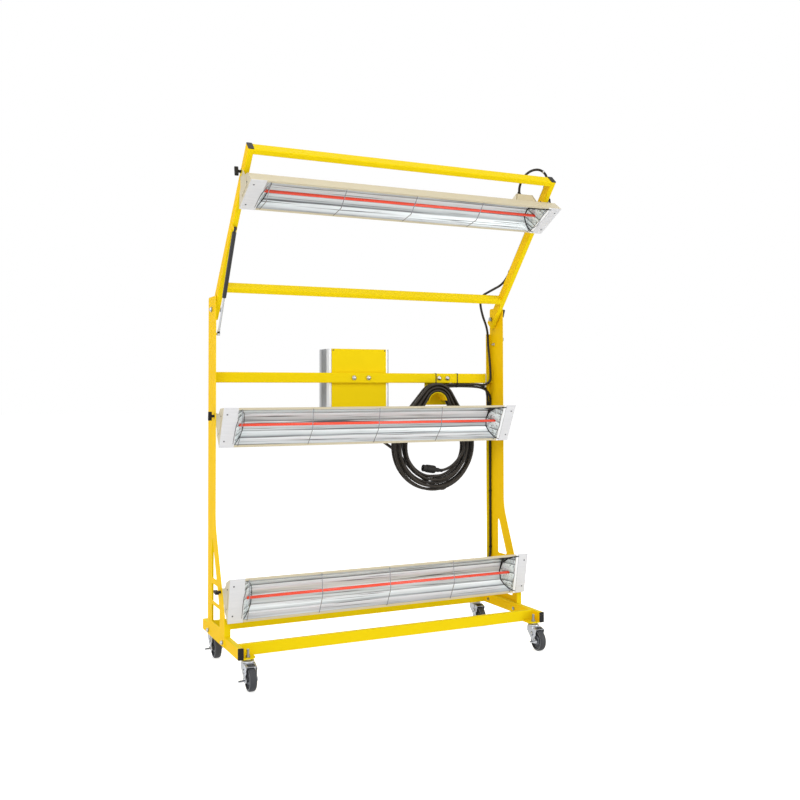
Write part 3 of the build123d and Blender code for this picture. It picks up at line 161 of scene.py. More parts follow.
# Printed clip on the strut rod's socket, up from the socket's foot, and the lever grip's foot, in metres
CLIP_LOW = 0.010
CLIP_HIGH = 0.019
LEVER_GRIP = 1.677

# Painted shadow line down the control box's front right corner, in metres
BOX_SHADOW_LINE = 0.1600
BOX_SHADOW_LINE_DEEP = 0.0045

# Grooves down the control box's side, as shares of its depth from the front
FIN_SHADE_SHARES = (0.39, 0.53, 0.69, 0.85)

# Keypad's print, in millimetres: middles as across and up, and oblongs as width and height
KEYPAD = (-3.0, 1339.0)
KEYPAD_SHEET = (101.0, 173.0)
KEYPAD_BORDER = (95.0, 167.0)
DISPLAY = (-2.5, 1414.7)
DISPLAY_WINDOW = (34.0, 17.0)
DISPLAY_DIGITS = (26.0, 9.5)
ARROWS = ((10.0, 1), (-15.0, -1))
ARROW_HIGH = 1396.0
# Bezel round the display, in metres: its edges, how proud of the cover it sits, and its faces
BEZEL_OUTER = (0.0165, 0.0083)
BEZEL_INNER = (0.0152, 0.0068)
BEZEL_PROUD = 0.0015
BEZEL_FACES = (-0.0003, 0.0009)

# Status lights beside the keypad, in metres: place across, how proud of the cover, and a lens's profile
LIGHT_ACROSS = 0.0355
LIGHT_PROUD = 0.0014
LENS = ((0.0021, 0.0), (0.0021, 0.0004), (0.0016, 0.0012), (0.0008, 0.0016), (0, 0.0017))
# Heights of the status lights in millimetres, the first one green
LIGHT_HEIGHTS = (1376.5, 1363.2, 1349.6, 1336.2, 1322.8)

# Control box's cover screws and gasket, in metres
COVER_SCREW_ACROSS = 0.1425
COVER_SCREW_INSET = 0.0075
GASKET_ACROSS = 0.1501
GASKET_INSET = 0.0032
GASKET_HALF = (0.0005, 0.0006)

# Wheel's raised side rings, painted lighter as a painted highlight, as radii from the axle in metres
WHEEL_BUSH = 0.0125
WHEEL_WEB = 0.0392
WHEEL_HIGHLIGHT_RINGS = ((0.0435, 0.0452), (0.0345, 0.0358))
# Wheel's hub as radius and distance from the wheel's middle, its ribs' outline and their faces
HUB = ((0.0131, 0.0068), (0.0205, 0.0072), (0.0215, 0.009), (0.0205, 0.0106), (0.0131, 0.0112))
HUB_RIBS = 5
HUB_RIB = ((0.0205, -0.0016), (0.0372, -0.0012), (0.0372, 0.0012), (0.0205, 0.0016))
HUB_RIB_FACES = (0.0066, 0.0092)
# Caster's swivel race as radius and height, how far it sits behind the axle, and its height
SWIVEL_RACE = (
    (0.0262, -0.0085),
    (0.0282, -0.0075),
    (0.0282, -0.0035),
    (0.0262, -0.002),
    (0.0225, -0.0002),
    (0.0185, 0.0026),
    (0.0162, 0.004),
)
RACE_BEHIND = 0.045
RACE_HIGH = 0.121
# Nose of the fork over the wheel, as behind and above the axle: its sheet, its side webs and the painted
# shade in its slots
NOSE_LINE = (
    (0.026, 0.0595),
    (0.0145, 0.0592),
    (0.006, 0.0585),
    (-0.002, 0.0572),
    (-0.0095, 0.0555),
    (-0.016, 0.0533),
)
NOSE_THICK = 0.0016
NOSE_HALF = 0.0235
NOSE_WEB = (
    (0.026, 0.06),
    (0.006, 0.0592),
    (-0.016, 0.054),
    (-0.017, 0.047),
    (-0.012, 0.036),
    (-0.013, 0.028),
    (-0.004, 0.016),
    (0.012, 0.008),
    (0.026, 0.03),
)
NOSE_WEB_FACES = ((-0.0242, -0.0234), (0.0234, 0.0242))
NOSE_SLOT_SHADES = ((0.0075, 0.0604), (-0.0015, 0.0589), (-0.0105, 0.0568))
NOSE_SLOT_SHADE = (0.0027, 0.0009)
NOSE_SLOT_SHADE_HALF = 0.0165
# Brake cam on the fork's cheeks: its place, the ring under it and the disc
CAM_PLACE = (0.0272, 0.0165, 0.0315)
CAM_RING = ((0.0104, -0.0004), (0.0104, 0.0006), (0.0082, 0.0007))
CAM_DISC = (
    (0.0083, 0.0),
    (0.0083, 0.0016),
    (0.0062, 0.0024),
    (0.003, 0.0024),
    (0.0028, 0.0034),
    (0.0004, 0.0036),
)
# Brake lever's pad: its place from the lever's front left corner, its outline and its ribs
PAD_ACROSS = 0.0172
PAD_BEHIND = 0.0093
PAD_HIGH = 0.0533
PAD_HALF = (0.0155, 0.0078)
PAD_CORNERS = ((1, 0.6), (0.85, 1), (-0.85, 1), (-1, 0.6), (-1, -0.6), (-0.85, -1), (0.85, -1), (1, -0.6))
PAD_THICK = 0.0016
PAD_RIBS = 4
PAD_RIB_PITCH = 0.0038
PAD_RIB = (0.0135, 0.0007)
PAD_RIB_FACES = (0.0014, 0.0024)

# Glands under the control box, first to last, and the end of their domes
BOX_GLANDS = (-22.0, 14.0, 50.0, 86.0)
BOX_GLAND_BEHIND = 176.0
BOX_GLAND_END = 1160.0

# Ribbed sleeve where a cable leaves a gland, in metres
SLEEVE_WALL = 0.0032
SLEEVE_SUNK = 0.002
SLEEVE_FOOT = 0.003
SLEEVE_RIBS = 6
SLEEVE_GROOVE = 0.0009
SLEEVE_TIP = 0.0011
SLEEVE_RIM = 0.0006

# Ties round the middle crossbar: name, place across and how far behind they reach, in millimetres
BAR_TIES = (("inner", 428.0, 68.2), ("middle", 556.0, 65.0), ("outer", 732.0, 65.0))
BAR_CABLES = ((47.4, 1316.0, 5.6), (58.7, 1316.0, 5.6), (53.0, 1304.8, 5.6))
BAR_TIE_SLACK = 0.25
BAR_TIE_HEAD = radians(196)
# Ties round the right post's cables: name, height, and the cables as across and behind the swing axis
POST_TIES = (
    ("high", 1215.0, ((755.5, 59.5), (766.8, 56.5))),
    ("lead", 1160.0, ((755.5, 59.5), (767.5, 59.5))),
    ("upper", 735.0, ((767.5, 59.5),)),
    ("lower", 433.0, ((767.5, 59.5),)),
)
POST_CABLE = 5.5
POST_FACE = 772.8
POST_CABLE_BEHIND = 59.5
POST_TIE_HALF = 5.0
POST_TIE_EDGE = 0.4
POST_TIE_HEAD = radians(214)
# Saddles down the right arm, as millimetres up it from the pivot
SADDLES = (810.0, 545.0, 295.0)
# Cable and foot of a saddle in metres, as across and behind the arm's middle
SADDLE_CABLE = (0.758, 0.0316)
SADDLE_FOOT = (0.011, 0.0258)
SADDLE_SLACK = 0.0002

# Domed bolt covers on the crossbar and on the panels' feet and pivots, in millimetres with radii in metres
BAR_DOMES = (-40.0, 40.0, 446.0, 495.0)
BAR_DOME_AHEAD = 5.5
BAR_DOME_RADIUS = 0.0088
PANEL_FACE = 782.5
FOOT_DOMES = (51.0, -212.0)
FOOT_DOME_HIGH = 151.0
FOOT_DOME_RADIUS = 0.0078
PIVOT_DOME_RADIUS = 0.0092

# Weld beads: up the stems of the base in metres, and along the arms in millimetres
LEG_BEAD_ACROSS = 0.7484
LEG_BEADS_FRONT = (0.064, 0.0894)
LEG_BEADS_REAR = (0.050, 0.0754)
LEG_BEAD_HEIGHTS = (0.1325, 0.1435, 0.1545, 0.1655, 0.1745)
LEG_BEAD_RADII = (0.0016, 0.0023, 0.0019, 0.0024, 0.0016)
ARM_BEAD_ACROSS = 745.4
ARM_BEADS_ALONG = (131.0, 854.3)
ARM_BEAD_BEHIND = 24.25
ARM_BEAD_STEPS = (-11.0, -5.5, 0.0, 5.5, 11.0)
ARM_BEAD_RADII = (0.0014, 0.0021, 0.0017, 0.0022, 0.0014)

# Wing screw on the right panel: its place in millimetres, its turned shape and one blade, in metres
WING_PLACE = (774.0, 22.0, 1533.0)
WING = ((0.0085, 0.0), (0.0085, 0.0014), (0.0055, 0.0016), (0.0052, 0.0075), (0.0036, 0.009), (0, 0.0094))
WING_BLADE = ((0.0035, -0.0018), (0.0135, -0.0013), (0.0135, 0.0013), (0.0035, 0.0018))
WING_BLADE_FACES = (0.0035, 0.0105)

# Studio lights: name, place, aim, width and power
LIGHTS = (
    ("key", (-3.2, -5.0, 4.6), (0.0, 0.0, 1.2), 3.6, 150.0),
    ("fill", (4.6, -5.0, 2.4), (0.0, 0.0, 1.0), 3.6, 155.0),
    ("sky", (0.0, 0.6, 6.2), (0.0, 0.0, 1.0), 5.0, 85.0),
    ("rear", (1.0, 4.2, 3.4), (0.0, 0.2, 1.2), 3.4, 60.0),
    ("left", (-5.6, -0.6, 1.6), (0.6, 0.1, 1.0), 3.4, 52.0),
)
# Half the floor's width, the floor's own brightness to the camera, and the sky's brightness on the lamp
FLOOR_HALF = 60
FLOOR_LIFT = 0.56
SKY_DIM = 0.5

# Camera: its place, turn, tilt and roll in degrees, its sensor and lens in millimetres and its shift
CAMERA_PLACE = (-1.90173, -4.37365, 1.26884)
CAMERA_YAW = 26.451
CAMERA_PITCH = 1.488
CAMERA_ROLL = -0.1705
CAMERA_SENSOR = 36.0
CAMERA_LENS = 43.918
CAMERA_SHIFT = (-0.0388, -0.0404)

# Routes: across, behind the swing axis and up, in millimetres
SUPPLY_LEAD = (
    (86.0, 176.0, 1110.0),
    (98.0, 130.0, 1062.0),
    (133.0, 82.0, 1020.0),
    (190.0, 57.0, 978.0),
    (240.0, 51.0, 925.0),
    (283.0, 49.0, 872.0),
    (340.0, 49.0, 830.0),
    (398.0, 49.0, 790.0),
    (458.4, 49.0, 755.4),
    (492.7, 49.0, 767.8),
    (502.7, 49.0, 805.0),
    (479.2, 49.0, 833.0),
    (440.0, 33.0, 832.0),
)
TOP_LANE = (
    (50.0, 176.0, 1112.0),
    (84.0, 128.0, 1082.0),
    (150.0, 78.0, 1085.0),
    (232.0, 60.0, 1110.0),
    (298.0, 50.0, 1176.4),
    (359.0, 47.0, 1292.1),
    (496.0, 47.5, 1316.0),
    (600.0, 47.0, 1315.7),
    (680.0, 46.0, 1315.5),
    (720.0, 34.0, 1310.0),
    (757.0, 31.0, 1330.0),
    (757.0, 32.0, 1385.0),
    (757.0, 44.0, 1470.0),
    (755.0, 55.0, 1530.0),
    (748.0, 44.0, 1585.0),
    (715.0, 2.0, 1630.0),
    (690.0, -21.8, 1654.4),
)
MIDDLE_LANE = (
    (14.0, 176.0, 1098.0),
    (60.0, 118.0, 1066.0),
    (135.0, 84.0, 1058.0),
    (225.0, 72.0, 1090.0),
    (300.0, 61.0, 1168.0),
    (359.2, 58.7, 1292.1),
    (497.0, 58.7, 1316.0),
    (640.0, 58.4, 1315.6),
    (715.0, 59.0, 1313.0),
    (755.5, 59.5, 1285.0),
    (755.5, 59.5, 1155.0),
)
LOWER_LANE = (
    (-22.0, 176.0, 1086.0),
    (38.0, 138.0, 1036.0),
    (125.0, 118.0, 1020.0),
    (222.0, 66.0, 1064.0),
    (303.5, 52.0, 1152.5),
    (365.7, 53.0, 1282.7),
    (499.5, 53.0, 1305.0),
    (640.0, 53.2, 1304.6),
    (712.0, 50.0, 1298.0),
    (750.0, 46.5, 1276.0),
    (767.5, 50.0, 1240.0),
    (767.5, 59.5, 1185.0),
    (767.5, 59.5, 430.0),
)
MIDDLE_LEAD = (
    (642.0, 17.0, 1182.0),
    (664.0, 37.0, 1158.0),
    (677.0, 45.0, 1110.0),
    (715.5, 53.0, 1087.0),
    (755.5, 59.5, 1110.0),
    (755.5, 59.5, 1155.0),
)
LOWER_LEAD = (
    (645.0, -74.0, 378.0),
    (672.0, -27.0, 362.0),
    (706.0, 17.0, 350.0),
    (740.0, 45.0, 352.0),
    (767.5, 59.5, 385.0),
    (767.5, 59.5, 430.0),
)

# How far each cable runs straight out of its fixture's gland
LEAD_STRAIGHT = {"top": 38.0, "middle": 28.0, "bottom": 40.0}
# Lengths of the cables in metres
TOP_LOOP_LONG = 0.291
TOP_FOOT_LONG = 0.353
LANES = (
    ("top_lane", 2, TOP_LANE, 1.26),
    ("middle_lane", 1, MIDDLE_LANE, 1.08),
    ("lower_lane", 0, LOWER_LANE, 1.85),
)
LEADS = (("middle_lead", "middle", MIDDLE_LEAD, 0.271), ("lower_lead", "bottom", LOWER_LEAD, 0.332))

# The top cable, as across, up the arm from its pivot and behind the arm's middle
TOP_LOOP = (
    (649.0, 820.0, 84.0),
    (681.0, 862.0, 87.0),
    (724.0, 877.0, 79.0),
    (755.0, 864.0, 55.0),
    (758.0, 838.0, 31.6),
    (758.0, 816.0, 31.6),
)
TOP_RUN = ((758.0, 816.0, 31.6), (758.0, 540.0, 31.6), (758.0, 286.0, 31.6))
TOP_FOOT = (
    (758.0, 286.0, 31.6),
    (758.0, 262.0, 31.6),
    (745.0, 205.0, 34.0),
    (700.0, 165.0, 38.0),
    (646.0, 121.0, 35.5),
    (652.0, 80.0, 12.4),
)

# Coil: two circles, their pitches, the four layers and the tail that brings the plug inside
COIL_TOP = Vector((412.0, 1219.0))
COIL_BOTTOM = Vector((399.0, 994.0))
COIL_TOP_R = 62.5
COIL_BOTTOM_R = 162.0
COIL_TOP_PITCH = 16.4
COIL_BOTTOM_PITCH = 34.0
COIL_REAR = 33.0
COIL_STEP = 15.6
COIL_TAIL = 260.0
COIL_TAIL_ROUTE = ((560.0, -13.8, 950.0), (525.0, -13.5, 912.0), (497.0, -6.0, 882.0), (452.0, 9.0, 859.4))
PLUG_END = (425.4, 9.0, 863.6)
LIMB_FOOT = 0.55
LIMB_HEAD = 0.88
FOOT_ARC = 5
HEAD_ARC = 3

# Plug, in metres: its lean, its grip's ribs as radius and height, their first place and pitch, its collar
PLUG_LEAN = radians(9.0)
PLUG_RIBS = 5
PLUG_RIB_FIRST = 0.030
PLUG_RIB_PITCH = 0.0075
PLUG_RIB = ((0.0195, 0.0), (0.0212, 0.0008), (0.0212, 0.0028), (0.0195, 0.0036))
PLUG_COLLAR = ((0.0178, 0.0692), (0.0205, 0.0692), (0.0212, 0.0702), (0.0212, 0.0716), (0.0178, 0.0722))
PLUG_BOOT_BACK = 0.02
PLUG_BOOT_RADIUS = 0.0088

# Corners of an oblong, going round
CORNERS = ((1, 1), (-1, 1), (-1, -1), (1, -1))


def shade(red, green, blue):
    """A colour as it is read off a screen, turned to the light values that Blender works in."""
    linear = []
    for level in (red / 255, green / 255, blue / 255):
        linear.append(level / 12.92 if level <= 0.04045 else ((level + 0.055) / 1.055) ** 2.4)
    return tuple(linear)


def toned(colour, factor, lift=0.0):
    """A colour made lighter or darker."""
    return tuple(min(1.0, level * factor + lift) for level in colour)


# Painted shade: the powder coat is painted warmer and more orange on the faces that look to the left
SHADE_FACING_WAY = (-1.0, 0.0, 0.0)
PAINTED_SHADE_YELLOW = shade(250, 203, 10)

# What every colour of the panel has in common
COLOUR = {"subtype": "COLOR", "size": 3, "min": 0.0, "max": 1.0}


class LampSizes(bpy.types.PropertyGroup):
    """Sizes of the small parts that are dressed onto the frame."""

    supply_radius: FloatProperty(
        name="Supply cable radius",
        description="Half the supply cable's thickness",
        default=0.0075,
        min=0.002,
        unit="LENGTH",
    )
    cable_radius: FloatProperty(
        name="Fixture cable radius",
        description="Half the thickness of the cables to the fixtures",
        default=0.0062,
        min=0.002,
        unit="LENGTH",
    )
    tie_wide: FloatProperty(
        name="Tie width",
        description="Width of a cable tie's band",
        default=0.0048,
        min=0.001,
        unit="LENGTH",
    )
    tie_thick: FloatProperty(
        name="Tie thickness",
        description="Thickness of a cable tie's band",
        default=0.0013,
        min=0.0005,
        unit="LENGTH",
    )
    screw_radius: FloatProperty(
        name="Screw radius",
        description="Radius of a small screw's head",
        default=0.0036,
        min=0.001,
        unit="LENGTH",
    )
    lamp_radius: FloatProperty(
        name="Lamp tube radius",
        description="Radius of the ruby tube round each lamp's filament",
        default=0.0068,
        min=0.004,
        unit="LENGTH",
    )
    # Painted shade: the black tubes at a reflector's end stand for shade
    end_shade_radius: FloatProperty(
        name="End shade radius",
        description="Half the thickness of the painted shade along a reflector's end",
        default=0.0022,
        min=0.0005,
        unit="LENGTH",
    )
    sleeve_long: FloatProperty(
        name="Sleeve length",
        description="Length of the tapered sleeve where a cable leaves a gland",
        default=0.026,
        min=0.02,
        max=0.06,
        unit="LENGTH",
    )


class LampColours(bpy.types.PropertyGroup):
    """Colours of the lamp's finishes."""

    yellow: FloatVectorProperty(
        name="Frame yellow",
        description="Powder coat of the frame",
        default=shade(238, 209, 14),
        **COLOUR,
    )
    beige: FloatVectorProperty(
        name="Housing beige",
        description="Enamel of the lamp housings",
        default=shade(206, 196, 168),
        **COLOUR,
    )
    plate: FloatVectorProperty(
        name="End plate white",
        description="Finish of the housings' end plates",
        default=shade(224, 224, 226),
        **COLOUR,
    )
    lamp: FloatVectorProperty(
        name="Lamp red",
        description="Ruby coat of the quartz tubes",
        default=shade(232, 72, 48),
        **COLOUR,
    )
    rubber: FloatVectorProperty(
        name="Cable black",
        description="Rubber of the cables",
        default=shade(29, 23, 16),
        **COLOUR,
    )
    floor: FloatVectorProperty(
        name="Floor white",
        description="Floor and backdrop",
        default=shade(252, 252, 252),
        **COLOUR,
    )


def sizes():
    """The sizes as the panel gives them."""
    return bpy.context.scene.lamp_sizes


def colours():
    """The colours as the panel gives them."""
    return bpy.context.scene.lamp_colours


# Finishes


class Term:
    """An output of a finish's nodes, on which sums are written as plain expressions."""

    def __init__(self, finish, socket):
        self.finish = finish
        self.socket = socket

    def worked(self, operation, *terms):
        return self.finish.node("ShaderNodeMath", {"operation": operation}, dict(enumerate(terms)))

    def __add__(self, other):
        return self.worked("ADD", self, other)

    def __radd__(self, other):
        return self.worked("ADD", other, self)

    def __sub__(self, other):
        return self.worked("SUBTRACT", self, other)

    def __rsub__(self, other):
        return self.worked("SUBTRACT", other, self)

    def __mul__(self, other):
        return self.worked("MULTIPLY", self, other)

    def __rmul__(self, other):
        return self.worked("MULTIPLY", other, self)

    def __truediv__(self, other):
        return self.worked("DIVIDE", self, other)

    def __pow__(self, other):
        return self.worked("POWER", self, other)

    def __abs__(self):
        return self.worked("ABSOLUTE", self)

    def __gt__(self, other):
        return self.worked("GREATER_THAN", self, other)

    def __lt__(self, other):
        return self.worked("LESS_THAN", self, other)


class Finish:
    """One material, or the sky, made of nodes from a single method."""

    def __init__(self, name, sky=False):
        self.sky = sky
        self.material = bpy.data.worlds.new(name) if sky else bpy.data.materials.new(name)
        self.material.use_nodes = True
        self.tree = self.material.node_tree
        self.tree.nodes.clear()
        self.at = self.node("ShaderNodeTexCoord", output="Object")

    def node(self, kind, settings=None, sockets=None, output=0):
        """A node with its settings set first, then its sockets' values or links; returns one output."""
        made = self.tree.nodes.new(kind)
        for name, value in (settings or {}).items():
            if name == "stops":
                ramp = made.color_ramp
                while len(ramp.elements) < len(value):
                    ramp.elements.new(0.5)
                for element, (place, colour) in zip(ramp.elements, value):
                    element.position = place
                    element.color = (*colour, 1.0)
            else:
                setattr(made, name, value)
        for name, value in (sockets or {}).items():
            if isinstance(value, Term):
                self.tree.links.new(value.socket, made.inputs[name])
            else:
                made.inputs[name].default_value = value
        return Term(self, made.outputs[output])

    def reach(self, place, way):
        """How far a place or a direction reaches along a way."""
        return self.node("ShaderNodeVectorMath", {"operation": "DOT_PRODUCT"}, {0: place, 1: way}, "Value")

    def along(self, way):
        """Distance along a direction, in metres from the origin."""
        return self.reach(self.at, way)

    def stretched(self, scale):
        """Place on the surface with each of its three measures scaled."""
        return self.node("ShaderNodeVectorMath", {"operation": "MULTIPLY"}, {0: self.at, 1: scale})

    def ray(self, kind):
        """1 for a kind of ray that reaches the surface, otherwise 0."""
        return self.node("ShaderNodeLightPath", output=f"Is {kind} Ray")

    def grain(self, scale, detail=3.0, stretch=None):
        """Noise from 0 to 1, finer with a larger scale."""
        place = self.stretched(stretch) if stretch else self.at
        sockets = {"Vector": place, "Scale": scale, "Detail": detail}
        return self.node("ShaderNodeTexNoise", None, sockets, "Fac")

    def blend(self, share, first, second):
        """First colour where the share is 0, second where it is 1."""
        first, second = [tone if isinstance(tone, Term) else (*tone, 1.0) for tone in (first, second)]
        return self.node("ShaderNodeMix", {"data_type": "RGBA"}, {0: share, 6: first, 7: second}, 2)

    def level(self, share, first, second):
        """A plain number that goes from first to second."""
        return first + share * (second - first)

    def raised(self, height, depth, strength):
        """Surface relief; depth is its size in metres."""
        return self.node("ShaderNodeBump", None, {"Strength": strength, "Distance": depth, "Height": height})

    def made(self, **sockets):
        """Joins the surface to the output and returns the material."""
        named = {name.replace("_", " "): value for name, value in sockets.items()}
        for name, value in named.items():
            if name.endswith("Color") and not isinstance(value, Term):
                named[name] = (*value, 1.0)
        surface = self.node("ShaderNodeBsdfPrincipled", None, named)
        return self.closed(surface)

    def closed(self, surface):
        """Joins a surface to the output."""
        end = self.tree.nodes.new("ShaderNodeOutputWorld" if self.sky else "ShaderNodeOutputMaterial")
        self.tree.links.new(surface.socket, end.inputs["Surface"])
        return self.material


def powder_coat(name, colour):
    """Powder coat: a fine orange peel, faint clouding, a soft gloss and a painted warm shade on the faces
    that look to the left.
    """
    finish = Finish(name)
    cloud = finish.grain(6.0, 2.0)
    speck = finish.grain(900.0, 2.0)
    tint = finish.blend(cloud * 0.6 + speck * 0.25, toned(colour, 0.93), colour)
    # Painted shade: faces that look to the left are blended towards a warmer, more orange yellow
    side = finish.reach(finish.node("ShaderNodeTexCoord", output="Normal"), SHADE_FACING_WAY)
    tint = finish.blend((side - 0.4) * 1.6, tint, PAINTED_SHADE_YELLOW)
    gloss = finish.level(finish.grain(40.0, 4.0), 0.42, 0.56)
    normal = finish.raised(finish.grain(420.0, 2.0), 0.00012, 0.35)
    return finish.made(Base_Color=tint, Roughness=gloss, Normal=normal, Specular_IOR_Level=0.04)


def zinc_plate(name="zinc plate", colour=shade(164, 168, 173)):
    """Bright zinc: spangled grey with a brushed gloss."""
    finish = Finish(name)
    spangle = finish.grain(160.0, 3.0)
    tint = finish.blend(spangle, toned(colour, 0.72), colour)
    gloss = finish.level(finish.grain(500.0, 3.0), 0.24, 0.42)
    normal = finish.raised(spangle, 0.0001, 0.3)
    return finish.made(Base_Color=tint, Metallic=1.0, Roughness=gloss, Normal=normal)


def black_plastic(name="black plastic", colour=shade(26, 25, 24), pebble=520.0):
    """Moulded plastic with a pebbled skin."""
    finish = Finish(name)
    skin = finish.grain(pebble, 3.0)
    tint = finish.blend(finish.grain(24.0), colour, toned(colour, 1.5, 0.004))
    gloss = finish.level(skin, 0.42, 0.62)
    normal = finish.raised(skin, 0.00015, 0.5)
    return finish.made(Base_Color=tint, Roughness=gloss, Normal=normal, Specular_IOR_Level=0.2)


def cable_rubber(name, colour):
    """Rubber sheath: dull, faintly rippled and dusty."""
    finish = Finish(name)
    dust = finish.grain(55.0, 4.0)
    tint = finish.blend(dust, colour, toned(colour, 1.7, 0.002))
    gloss = finish.level(finish.grain(300.0, 3.0), 0.36, 0.52)
    normal = finish.raised(finish.grain(220.0, 3.0), 0.0003, 0.5)
    return finish.made(Base_Color=tint, Roughness=gloss, Normal=normal, Specular_IOR_Level=0.3)


def chrome_wire():
    """Chromed guard wire, faintly streaked."""
    finish = Finish("chromed wire")
    streak = finish.grain(240.0, 2.0)
    tint = finish.blend(streak, shade(120, 122, 126), shade(176, 178, 182))
    gloss = finish.level(streak, 0.16, 0.3)
    normal = finish.raised(streak, 0.0001, 0.2)
    return finish.made(Base_Color=tint, Metallic=1.0, Roughness=gloss, Normal=normal)


def fixture_ways(name):
    """Directions across a fixture's section: down its face and back from it."""
    tilt = radians(FIXTURES[name][2])
    return Vector((0, sin(tilt), -cos(tilt))), Vector((0, cos(tilt), sin(tilt)))


def on_fixture(name, across, down, back):
    """Place on a fixture: across it, down its face and back from the face, in millimetres."""
    ahead, high, _ = FIXTURES[name]
    down_way, back_way = fixture_ways(name)
    axis = Vector((across, POST + ahead, high))
    return (axis + down_way * (down - FACE_TALL / 2) + back_way * (back - AXIS_BEHIND)) * MM


def section_terms(finish, name):
    """A fixture's section distances as terms: across, down its face and back from it, in metres."""
    corner = on_fixture(name, 0, 0, 0)
    down_way, back_way = fixture_ways(name)
    across = finish.along((1, 0, 0))
    down = finish.along(tuple(down_way)) - down_way.dot(corner)
    back = finish.along(tuple(back_way)) - back_way.dot(corner)
    return across, down, back


def beige_enamel(finish):
    """Faintly clouded beige."""
    beige = tuple(colours().beige)
    return finish.blend(finish.grain(7.0) * 0.7, beige, toned(beige, 0.92))


def housing_enamel(name):
    """Beige enamel; the end plates are white and the junction box's gland is black."""
    finish = Finish(f"housing enamel {name}")
    across, _, back = section_terms(finish, name)
    front = (abs(across) > PLATE_START * MM) * (back < PLATE_SKIN * MM)
    plate = front * ((across > PLATE_EDGE * MM) + (across < 0.0))
    fold = front * (abs(across - PLATE_EDGE * MM) < FOLD_LINE * MM)
    gland = back > (FIXTURE_DEEP + JUNCTION_TALL + GLAND_START) * MM
    brushed = finish.grain(130.0, 3.0, stretch=(0.12, 1.0, 1.0))
    white = finish.blend(brushed * 0.8, tuple(colours().plate), shade(204, 205, 208))
    tint = finish.blend(front, beige_enamel(finish), shade(240, 241, 242))
    tint = finish.blend(fold, finish.blend(plate, tint, white), shade(120, 122, 126))
    narrowing = (JUNCTION_BASE - JUNCTION_TOP) / 2 / JUNCTION_TALL
    side = JUNCTION_BASE / 2 * MM - (back - FIXTURE_DEEP * MM) * narrowing
    inset = abs(abs(across - JUNCTION * MM) - side + JUNCTION_SEAM * MM)
    seam = (back > (FIXTURE_DEEP + SEAM_START) * MM) * (inset < SEAM_LINE * MM)
    tint = finish.blend(seam * 0.8, tint, shade(82, 74, 62))
    tint = finish.blend(gland, tint, shade(30, 30, 32))
    enamel_gloss = finish.level(finish.grain(60.0), 0.4, 0.52)
    gloss = finish.level(front, enamel_gloss, finish.level(brushed, 0.3, 0.46))
    normal = finish.raised(finish.grain(380.0, 2.0), 0.00012, 0.3)
    return finish.made(Base_Color=tint, Roughness=gloss, Normal=normal)


def mirror_sheet(name):
    """Bright reflector sheet, rolled along its length, with painted reflections and shade in bands at its
    facets' folds and in dark lines along its length, and a painted sheen; its colours are cooled against the
    lamp's red reflection.
    """
    finish = Finish(f"reflector sheet {name}")
    _, down, _ = section_terms(finish, name)
    share = (down - LIP * MM) / ((FACE_TALL - 2 * LIP) * MM)
    # Painted reflections and shade: a pale, a dark and a bright band at each facet's fold, cooled against the
    # lamp's red reflection
    stops = [(0.0, shade(158, 161, 162))]
    pale, fold, bright = shade(190, 198, 199), shade(58, 64, 67), shade(237, 246, 247)
    for edge, _ in FACETS[1:-1]:
        stops += [(edge - 0.04, pale), (edge, fold), (edge + 0.012, bright)]
    stops.append((1.0, shade(170, 174, 175)))
    wobble = share + (finish.grain(9.0, 2.0, stretch=(0.35, 1.0, 1.0)) - 0.5) * 0.03
    fold_reflections = finish.node("ShaderNodeValToRGB", {"stops": stops}, {"Fac": wobble}, "Color")
    # Painted sheen: bright streaks along the length from the rolled grain; painted reflections: thin dark
    # lines along the length, which also raise the relief
    rolled = finish.grain(60.0, 3.0, stretch=(0.012, 1.0, 1.0))
    lines = finish.grain(170.0, 2.0, stretch=(0.014, 1.0, 1.0))
    tint = finish.blend((rolled - 0.5) * 4.0, fold_reflections, bright)
    tint = finish.blend((lines - 0.58) * 9.0, tint, shade(92, 95, 97))
    gloss = finish.level(rolled, 0.22, 0.36)
    normal = finish.raised(lines * 0.5 + rolled, 0.0012, 0.7)
    return finish.made(Base_Color=tint, Metallic=0.18, Roughness=gloss, Normal=normal, Specular_IOR_Level=0.3)


def ruby_quartz(name):
    """Ruby-coated quartz tube, dark where its ends are pinched."""
    finish = Finish(f"ruby quartz {name}")
    across, _, _ = section_terms(finish, name)
    tip = abs(across) > LAMP_TIP * MM
    banding = finish.grain(120.0, 2.0, stretch=(1.0, 0.2, 0.2))
    red = tuple(colours().lamp)
    tint = finish.blend(banding, red, toned(red, 1.18))
    tint = finish.blend(tip, tint, shade(44, 26, 24))
    glow = finish.blend(tip, red, (0.0, 0.0, 0.0))
    gloss = finish.level(tip, 0.2, 0.5)
    normal = finish.raised(finish.grain(300.0), 0.0001, 0.25)
    return finish.made(
        Base_Color=tint,
        Roughness=gloss,
        Normal=normal,
        Emission_Color=glow,
        Emission_Strength=0.12,
        Coat_Weight=0.1,
    )


def ear_coat(name):
    """Ear plates: enamelled with the housing, and yellow round the clamping knob."""
    finish = Finish(f"ear coat {name}")
    _, down, back = section_terms(finish, name)
    fall, depth = down - FACE_TALL / 2 * MM, back - AXIS_BEHIND * MM
    clamp = (fall * fall + depth * depth) ** 0.5 < CLAMP_ROUND
    tint = finish.blend(clamp, beige_enamel(finish), tuple(colours().yellow))
    gloss = finish.level(finish.grain(60.0), 0.4, 0.52)
    normal = finish.raised(finish.grain(380.0, 2.0), 0.00012, 0.3)
    return finish.made(Base_Color=tint, Roughness=gloss, Normal=normal, Specular_IOR_Level=0.25)


